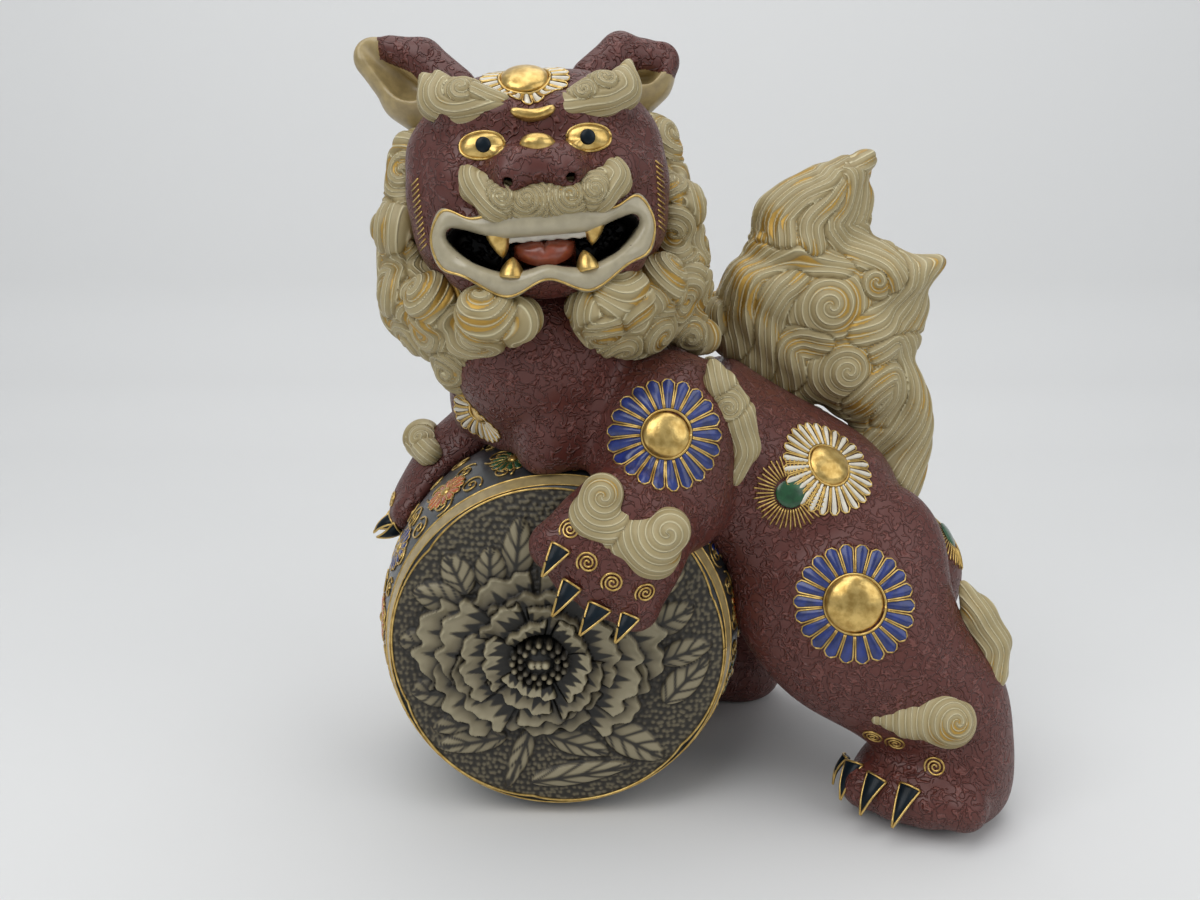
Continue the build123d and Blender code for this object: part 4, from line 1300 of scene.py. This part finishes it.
# Claws and spirals that the photograph shows: two base corners and the tip of each claw, then places
SHOWN_CLAWS = {
    "left_fore": (
        ((-0.5, -83, 127.5), (6, -84, 124), (-4, -88, 116)),
        ((3.5, -83.5, 114), (10, -84.5, 110), (-0.5, -88, 101)),
        ((13, -83, 105), (21, -84, 101.5), (9.5, -87.5, 93.5)),
        ((25, -82, 100.5), (31.5, -83, 98), (22.5, -86, 90)),
    ),
    "left_hind": (
        ((121, -47, 22), (126, -54, 23.5), (117, -56, 9)),
        ((127, -58, 23), (132.5, -65, 22), (122, -67.5, 9)),
        ((137.5, -66, 22.5), (144, -71, 21.5), (132, -76.5, 9)),
        ((123, -38, 20), (122.5, -44, 21), (117, -44, 9)),
    ),
}
SHOWN_SPIRALS = {
    "left_fore": ((6, -83, 132.5), (12.5, -87, 121), (21.5, -88, 113.5), (34, -85, 108.5)),
    "left_hind": ((127, -60, 38), (134, -66, 35), (149, -70, 31)),
}


def claw_shape(cloud, skin):
    """The two base corners and the tip of a claw, from its plain solid."""
    middle = cloud.mean(axis=0)
    axis = np.linalg.svd(cloud - middle, full_matrices=False)[2][0]
    spread = (cloud - middle) @ axis
    thick = np.linalg.norm(cloud - middle - np.outer(spread, axis), axis=1)
    axis = axis if thick[spread > 0].mean() < thick[spread < 0].mean() else -axis
    reach = np.abs(spread).max()
    base = middle - axis * reach
    normal = skin.nearest(base)[1]
    side = unit(np.cross(axis, normal))
    base = base + unit(normal - axis * (normal @ axis)) * 2.0
    return base - side * CLAW_HALF_WIDTH, base + side * CLAW_HALF_WIDTH, middle + axis * (reach + 1.0)


def claw(shape, skin, left, right, tip):
    """A flat hooked claw on the front of its toe, edged with gilt."""
    left, right, tip = (np.asarray(p, float) for p in (left, right, tip))
    base = (left + right) / 2
    half = (right - left) / 2
    out = unit(np.cross(half, tip - base))
    if out @ skin.nearest(base)[1] < 0:
        out = -out
    steps = np.linspace(0, 1, 14)
    line = base + np.outer(steps, tip - base) + np.outer(1.4 * np.sin(math.pi * steps) + 0.8, out)
    wide = (0.02 + 0.98 * (1 - steps) ** 0.9)[:, None]
    size = np.linalg.norm(half)
    ring = ring_of(circle_angles(16), half, 0.55 * size * out)
    shape.grid(line[:, None] + wide[:, None] * ring, 0, wrap=True, cap=True)
    across = np.linspace(-1, 1, 11)
    top = line[0] + np.outer(across, half) + np.outer(0.5 * size * np.sqrt(1 - across ** 2), out)
    for edge in (line - wide * half + out * 0.3, line + wide * half + out * 0.3, top):
        shape.tube(edge, 0.5, 1, 6)


def toe_spiral(shape, skin, spot, radius):
    """A gilt spiral on a knuckle."""
    place, facing = skin.nearest(spot)
    turn = np.linspace(0, 1, 60)
    ring = ring_of(turn * 2 * math.pi * SPIRAL_TURNS, *plane_axes(facing))
    spiral = place + (radius * (0.1 + 0.9 * turn))[:, None] * ring
    shape.tube(skin.lay(spiral, facing, 0.25, 6.0), 0.45, 1, 6, facing)


class LION_OT_ball(bpy.types.Operator):
    """The carved ball: a peony on each face and an enamelled band between"""
    bl_idname = "lion.ball"
    bl_label = "Ball"

    def execute(self, context):
        colours = palette()
        for side, way in (("front", -1), ("back", 1)):
            points, faces, tone = carved_face(way)
            piece = build(side + "_carving", points, faces, [colours["relief"]], values={"tone": tone})
            settle(piece, "relief", side + "_peony_panel")
        band()
        return {"FINISHED"}


def rim_radius(angle):
    """The lobed edge of the carved face."""
    return 65.4 + 1.8 * np.abs(np.cos(3 * angle + 0.5)) ** 0.6


def carved_face(way):
    """A peony among leaves over a pebbled ground, as a net of heights on a disc."""
    rings, spokes = 130, 460
    share = np.linspace(0.004, 1, rings)[:, None]
    angle = circle_angles(spokes)[None, :]
    r = share * rim_radius(angle)
    x, z = r * np.cos(angle), r * np.sin(angle)
    height, tone = pebbles(x, z)
    for petal in leaves() + peony() + stamens():
        height, tone = petal.lay(x, z, height, tone)
    edge = np.clip((1 - share) * 14, 0, 1)
    height = 0.5 + height * edge + 3.2 * (1 - share ** 2)
    y = way * (BALL_FACE + height)
    points = np.stack((-way * x, y, z + BALL_CENTRE[2]), axis=2).reshape(-1, 3)
    index = np.arange(rings * spokes).reshape(rings, spokes)
    beside = np.roll(index, -1, axis=1)
    faces = np.stack((index[:-1], index[1:], beside[1:], beside[:-1]), axis=2).reshape(-1, 4)
    return above_floor(points, 0.3), faces, tone.reshape(-1)


def pebbles(x, z):
    """A ground stippled all over with a round punch: its heights, and tones painted lighter on each bump as
    painted light.
    """
    cell = 2.3
    i, j = np.floor(x / cell), np.floor(z / cell)
    best = np.full(x.shape, 9.0)
    for di in (-1, 0, 1):
        for dj in (-1, 0, 1):
            a, b = i + di, j + dj
            jx = np.modf(np.sin(a * 127.1 + b * 311.7) * 43758.5)[0]
            jz = np.modf(np.sin(a * 269.5 + b * 183.3) * 43758.5)[0]
            gap = np.hypot(x - (a + 0.5 + 0.35 * jx) * cell, z - (b + 0.5 + 0.35 * jz) * cell)
            best = np.minimum(best, gap)
    bump = np.clip(1 - (best / 1.25) ** 2, 0, 1)
    # Each bump's tone is painted lighter towards its top as painted light
    return 0.85 * bump, 0.15 + 0.42 * bump


class Petal:
    """A carved petal or leaf: a fan or lens in the face's plane, with brushed lines along it."""

    def __init__(self, root, angle, long, wide, level, kind="petal", bend=0.0, seed=0):
        self.root, self.angle, self.long, self.wide = root, angle, long, wide
        self.level, self.kind, self.bend, self.seed = level, kind, bend, seed

    def lay(self, x, z, height, tone):
        """Heights and tones with this petal laid over those before it."""
        c, s = math.cos(self.angle), math.sin(self.angle)
        dx, dz = x - self.root[0], z - self.root[1]
        u = (dx * c + dz * s) / self.long
        v = (-dx * s + dz * c) / self.wide - self.bend * u * u
        within = np.clip(u, 0, 1)
        if self.kind == "leaf":
            half = np.sqrt(np.clip(np.sin(math.pi * within), 0, None)) * (1 - 0.35 * within)
            reach = 1.0 + 0 * v
        else:
            half = 0.35 + 0.75 * within ** 0.7
            ruffle = 0.05 * np.sin(9 * v + self.seed) + 0.035 * np.sin(17 * v + 2.1 * self.seed)
            reach = np.sqrt(np.clip(1 - (0.75 * v) ** 2, 0.05, 1)) + ruffle
        side = np.abs(v) / np.maximum(half, 1e-3)
        inside = (u > 0) & (u < reach) & (side < 1)
        near = np.clip(np.minimum((reach - u) * self.long, (1 - side) * half * self.wide), 0, None)
        edge = np.clip(near / 1.1, 0, 1)
        if self.kind == "leaf":
            rise = self.level * (0.55 + 0.45 * (1 - side ** 2)) * np.sqrt(edge)
            ribs = np.sin((u * 1.15 - side * 0.34) * 3.5 * math.pi)
            vein = np.exp(-(v * self.wide / 0.7) ** 2) + 0.95 * np.exp(-(ribs / 0.34) ** 2)
            shade = 0.74 - 0.62 * np.clip(vein, 0, 1)
        else:
            lip = np.exp(-((reach - u) * self.long / 2.6) ** 2)
            rise = self.level * (0.45 + 0.50 * u) * np.sqrt(edge) + 1.8 * lip * edge
            ragged = 0.64 + 0.10 * np.sin(v * 13 + self.seed) + 0.10 * np.sin(v * 29 + 1.7 * self.seed)
            bare = np.clip((u / np.maximum(reach, 0.1) - ragged) / 0.10 + 0.5, 0, 1)
            strokes = 0.5 + 0.5 * np.sin(v * 34 + 3 * np.sin(4 * u + self.seed))
            shade = 0.05 + 0.10 * strokes * u + 0.74 * bare - 0.08 * strokes * bare * (1 - lip)
        # Painted shade: each petal and leaf darkens towards its outline
        shade = shade * (0.25 + 0.75 * np.clip(near / 0.8, 0, 1))
        shadow = np.exp(-np.clip(-np.minimum(reach - u, 1 - side), 0, None) * self.long / 3.0) * (u > -0.1)
        tone = np.where(inside, shade, tone * (1 - 0.55 * shadow * (~inside)))
        return np.where(inside, np.maximum(rise, height * 0.4), height), tone


PEONY_PLACE = (-7.0, -2.0)
PEONY_HALF = (50.0, 32.0)
# Rings of petals from the outermost in: count, start and end as shares, width, height and turn
PEONY_RINGS = (
    (7, 0.34, 1.02, 21, 3.4, 0.25),
    (6, 0.28, 0.84, 20, 5.0, 0.75),
    (6, 0.22, 0.64, 16, 6.6, 0.2),
    (5, 0.16, 0.45, 13, 8.2, 0.7),
)
# Leaves: root, tip and width
LEAVES = (
    ((-17, 29), (-13, 56), 7), ((-26, 26), (-27, 44), 7), ((-36, 24), (-43, 41), 7),
    ((-37, 20), (-58, 24), 7), ((-50, 3), (-64, 5), 6), ((-42, -18), (-60, -18), 7),
    ((-27, -29), (-52, -33), 6), ((-21, -36), (-51, -43), 6), ((-5, -35), (21, -45), 6),
    ((19, -33), (44, -46), 8), ((-12, -57), (31, -50), 5.5), ((43, -22), (60, -2), 7),
    ((37, 10), (55, 18), 7), ((41, -4), (62, 4), 6), ((20, 28), (34, 50), 7),
    ((32, 22), (50, 36), 7), ((0, 31), (9, 57), 7),
)
STEM = ((-10, -30), (-21, -61), 4.5)


def leaves():
    """Leaves about the flower, and its stem."""
    found = []
    for k, (root, tip, wide) in enumerate(LEAVES + (STEM,)):
        long = math.hypot(tip[0] - root[0], tip[1] - root[1])
        angle = math.atan2(tip[1] - root[1], tip[0] - root[0])
        found.append(Petal(root, angle, long, 1.15 * wide, 2.8, "leaf", 0.12 * (-1) ** k, k))
    return found


def peony():
    """Rings of cupped petals closing on the stamens, wider than they are high."""
    found = []
    for row, (count, start, end, wide, level, turn) in enumerate(PEONY_RINGS):
        order = sorted(range(count), key=lambda k: -math.sin(2 * math.pi * k / count + turn))
        for k in order:
            a = 2 * math.pi * k / count + turn
            aim = np.array((PEONY_HALF[0] * math.cos(a), PEONY_HALF[1] * math.sin(a)))
            root = np.array(PEONY_PLACE) + aim * start
            long = np.linalg.norm(aim) * (end - start)
            found.append(Petal(root, math.atan2(aim[1], aim[0]), long, wide, level, seed=1.7 * k + row))
    return found


class Bead:
    """A small round seed in the carving."""

    def __init__(self, place, radius, level, tone):
        self.place, self.radius, self.level, self.tone = place, radius, level, tone

    def lay(self, x, z, height, tone):
        """Heights and tones with this seed laid over those before it."""
        out = np.hypot(x - self.place[0], z - self.place[1]) / self.radius
        inside = out < 1
        rise = self.level + 1.6 * self.radius * np.sqrt(np.clip(1 - out * out, 0, 1))
        # Painted shade: each seed darkens towards its rim
        shade = self.tone * (1 - 0.75 * out ** 3)
        return np.where(inside, rise, height), np.where(inside, shade, tone)


def stamens():
    """A dark hollow full of seeds about three pistils."""
    x, z = PEONY_PLACE
    found = [Bead(PEONY_PLACE, 11.0, -9.0, 0.05)]
    for ring, (count, radius) in enumerate(((16, 9.2), (12, 6.6))):
        for k in range(count):
            a = 2 * math.pi * (k + 0.5 * ring) / count
            place = (x + 1.15 * radius * math.cos(a), z + 0.85 * radius * math.sin(a))
            found.append(Bead(place, 1.35, 7.5, 0.55 + 0.2 * math.sin(5 * k)))
    return found + [Bead((x + aside, z), 1.9, 8.0, 0.9) for aside in (-2.6, 0, 2.6)]


# The band: its materials by index, those that its flowers take in turn, and what lies on it. Rows count
# from -1 at its front edge to 1 at its back edge
BAND_COLOURS = ("ground", "gold", "orange", "blue", "white", "green", "ear")
BAND_ENAMELS = (2, 3, 2, 4, 5)
BAND_GROUND = 0
BAND_GOLD = 1
BAND_BUFF = 6
BAND_STRIP = 0.88
SCROLLS_ROUND = 32
SCROLL_ROWS = (-0.72, -0.4, 0.0, 0.4, 0.72)
SCROLL_TURNS = 1.9
BAND_FLOWERS = 15
BAND_FLOWER_ROW = 0.55
BAND_FLOWER_RADIUS = 10.0
BAND_FLOWER_PETALS = 14
GILT_LINE = 0.45
# How far above the floor gilt lines and flowers stay
LINE_CLEARANCE = 2.0
FLOWER_CLEARANCE = 11.0


def hoop(turn, radius, y):
    """Points about the ball's axis."""
    return BALL_CENTRE + np.stack((radius * np.cos(turn), y + 0 * turn, radius * np.sin(turn)), axis=-1)


def band_spot(turn, row, lift=0.0):
    """Points on the band, which bulges between its two edges."""
    radius = BALL_FACE_RADIUS + (BALL_RADIUS - BALL_FACE_RADIUS) * (1 - row * row) + lift
    return hoop(turn, radius, BALL_FACE * row)


def band_rims(shape, angles):
    """Gilt lines and a buff strip along both edges of the band."""
    turn = np.linspace(0, 2 * math.pi, 361)

    def gilt_line(line, radius, around):
        shape.tube(line[line[:, 2] > LINE_CLEARANCE], radius, BAND_GOLD, around)

    for way in (-1, 1):
        gilt_line(hoop(turn, rim_radius(turn), way * (BALL_FACE + 0.8)), GILT_LINE, 8)
        gilt_line(hoop(turn, BALL_FACE_RADIUS, way * BALL_FACE), 0.35, 6)
        strip = np.array([band_spot(angles, way * row, 0.25) for row in np.linspace(BAND_STRIP, 1.0, 6)])
        shape.grid(above_floor(strip), BAND_BUFF, wrap=True)
        gilt_line(band_spot(turn, way * BAND_STRIP, 0.2), GILT_LINE, 6)


def band_scrolls(shape):
    """Gold scrolls all over the band, each with its own size, way and start."""
    chance = np.random.default_rng(options().seed)
    turns = np.linspace(0, 1, 34)
    for a in circle_angles(SCROLLS_ROUND):
        for row in SCROLL_ROWS:
            out = chance.uniform(5.0, 7.0) * (1 - turns)
            way = 1 if chance.random() < 0.5 else -1
            wind = turns * 2 * math.pi * SCROLL_TURNS * way + chance.uniform(0, 6)
            turn = a + 0.12 * row + out * np.cos(wind) / BALL_RADIUS
            line = band_spot(turn, row + out * np.sin(wind) / BALL_FACE, 0.3)
            if line[:, 2].min() > LINE_CLEARANCE:
                shape.tube(line, GILT_LINE, BAND_GOLD, 4)


def band_flower(shape, k):
    """An enamelled flower with gilt outlines, in the front row of the band or the back one."""
    a = 2 * math.pi * (k // 2 + 0.35 + 0.5 * (k % 2)) / BAND_FLOWERS
    row = BAND_FLOWER_ROW if k % 2 else -BAND_FLOWER_ROW
    centre = band_spot(np.array([a]), row, 0.2)[0]
    if centre[2] < FLOWER_CLEARANCE:
        return
    colour = BAND_ENAMELS[k // 2 % len(BAND_ENAMELS)]
    out = unit((math.cos(a), 0.42 * row, math.sin(a)))
    along = np.linspace(0.25, 1, 7)
    far = BAND_FLOWER_RADIUS * along
    width = 1.9 * np.sqrt(np.maximum(along * (1 - ((along - 0.7) / 0.32).clip(0, 1) ** 2), 0.03))
    for way in ring_of(circle_angles(BAND_FLOWER_PETALS), *plane_axes(out)):
        line = centre + np.outer(far, way) - np.outer(far ** 2 / (2 * BALL_RADIUS), out)
        shape.tube(line, width, colour, 6, out, 0.5)
        half = np.outer(width + 0.2, np.cross(out, way))
        rim = np.vstack((line - half, (line + half)[::-1]))
        shape.tube(rim + out * 0.3, 0.28, BAND_GOLD, 5)
    shape.dome(centre, out, 2.6, 1.6, BAND_GOLD, 12, 4)


def band():
    """The ball's dark band with gold scrolls and enamelled flowers, and the buff edges of its faces."""
    shape = Shape()
    angles = circle_angles(300)
    rows = np.array([band_spot(angles, row) for row in np.linspace(-1, 1, 61)])
    shape.grid(above_floor(rows), BAND_GROUND, wrap=True, cap=True)
    band_rims(shape, angles)
    band_scrolls(shape)
    for k in range(2 * BAND_FLOWERS):
        band_flower(shape, k)
    piece = shape.build("ball_band", [palette()[name] for name in BAND_COLOURS])
    settle(piece, "ball_glaze", "ball_casting")


# The sheet behind the statue, away and up, and the lamps: place, aim, size and power
SWEEP = ((-1.2, 0), (0.42, 0), (0.62, 0.02), (0.76, 0.08), (0.82, 0.2), (0.84, 1.6))
SWEEP_HALF = 2.2
SWEEP_DROP = 0.0004
LAMPS = (
    ("key", (-0.7, -0.9, 1.3), (0.03, 0, 0.15), 1.2, 12.0),
    ("fill", (1.1, -0.8, 0.9), (0.03, 0, 0.15), 1.2, 6.0),
    ("top", (0.1, 0.1, 1.7), (0.03, 0.05, 0.1), 1.4, 10.0),
)
SKY = (0.9, 0.95, 1.0)
SKY_STRENGTH = 0.38


class LION_OT_stage(bpy.types.Operator):
    """Pale floor, soft light and the camera"""
    bl_idname = "lion.stage"
    bl_label = "Stage"

    def execute(self, context):
        scene = context.scene
        sweep = [[(x, y, z - SWEEP_DROP) for x in (-SWEEP_HALF, SWEEP_HALF)] for y, z in SWEEP]
        shape = Shape()
        shape.grid(np.array(sweep) / MM)
        pale = material("pale_sheet", (0.72, 0.72, 0.715), 0.8)
        floor = shape.build("floor", [pale])
        for name, place, aim, size, power in LAMPS:
            data = bpy.data.lights.new(name, "AREA")
            data.energy = power
            data.size = size
            lamp = bpy.data.objects.new(name, data)
            lamp.location = place
            lamp.rotation_euler = (Vector(aim) - Vector(place)).to_track_quat("-Z", "Y").to_euler()
            scene.collection.objects.link(lamp)
        world = scene.world or bpy.data.worlds.new("studio")
        scene.world = world
        world.use_nodes = True
        background = world.node_tree.nodes["Background"]
        background.inputs["Color"].default_value = (*SKY, 1)
        background.inputs["Strength"].default_value = SKY_STRENGTH
        data = bpy.data.cameras.new("camera")
        data.sensor_width = 36.0
        data.lens = CAMERA_LENS
        camera = bpy.data.objects.new("camera", data)
        camera.location = CAMERA_PLACE
        camera.rotation_euler = (math.radians(CAMERA_PITCH), 0, 0)
        scene.collection.objects.link(camera)
        scene.camera = camera
        scene.view_settings.view_transform = "Standard"
        return {"FINISHED"}


class LION_PT_panel(bpy.types.Panel):
    """Sizes and steps of the lion"""
    bl_idname = "LION_PT_panel"
    bl_label = "Guardian lion"
    bl_space_type = "VIEW_3D"
    bl_region_type = "UI"
    bl_category = "Lion"

    def draw(self, context):
        for name in ("skin_cell", "head_cell", "hair_cell", "seed"):
            self.layout.prop(context.scene.lion_options, name)
        for step in STEPS:
            self.layout.operator(step.bl_idname)


STEPS = (LION_OT_skin, LION_OT_hair, LION_OT_face, LION_OT_flowers, LION_OT_paws, LION_OT_ball, LION_OT_stage)
CLASSES = (LionOptions,) + STEPS + (LION_PT_panel,)


def register():
    for made in CLASSES:
        bpy.utils.register_class(made)
    bpy.types.Scene.lion_options = PointerProperty(type=LionOptions)


def unregister():
    del bpy.types.Scene.lion_options
    for made in reversed(CLASSES):
        bpy.utils.unregister_class(made)


def main():
    """Runs every step."""
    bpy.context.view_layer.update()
    register()
    for step in (bpy.ops.lion.skin, bpy.ops.lion.hair, bpy.ops.lion.face, bpy.ops.lion.flowers,
                 bpy.ops.lion.paws, bpy.ops.lion.ball, bpy.ops.lion.stage):
        step()


if __name__ == "__main__":
    main()
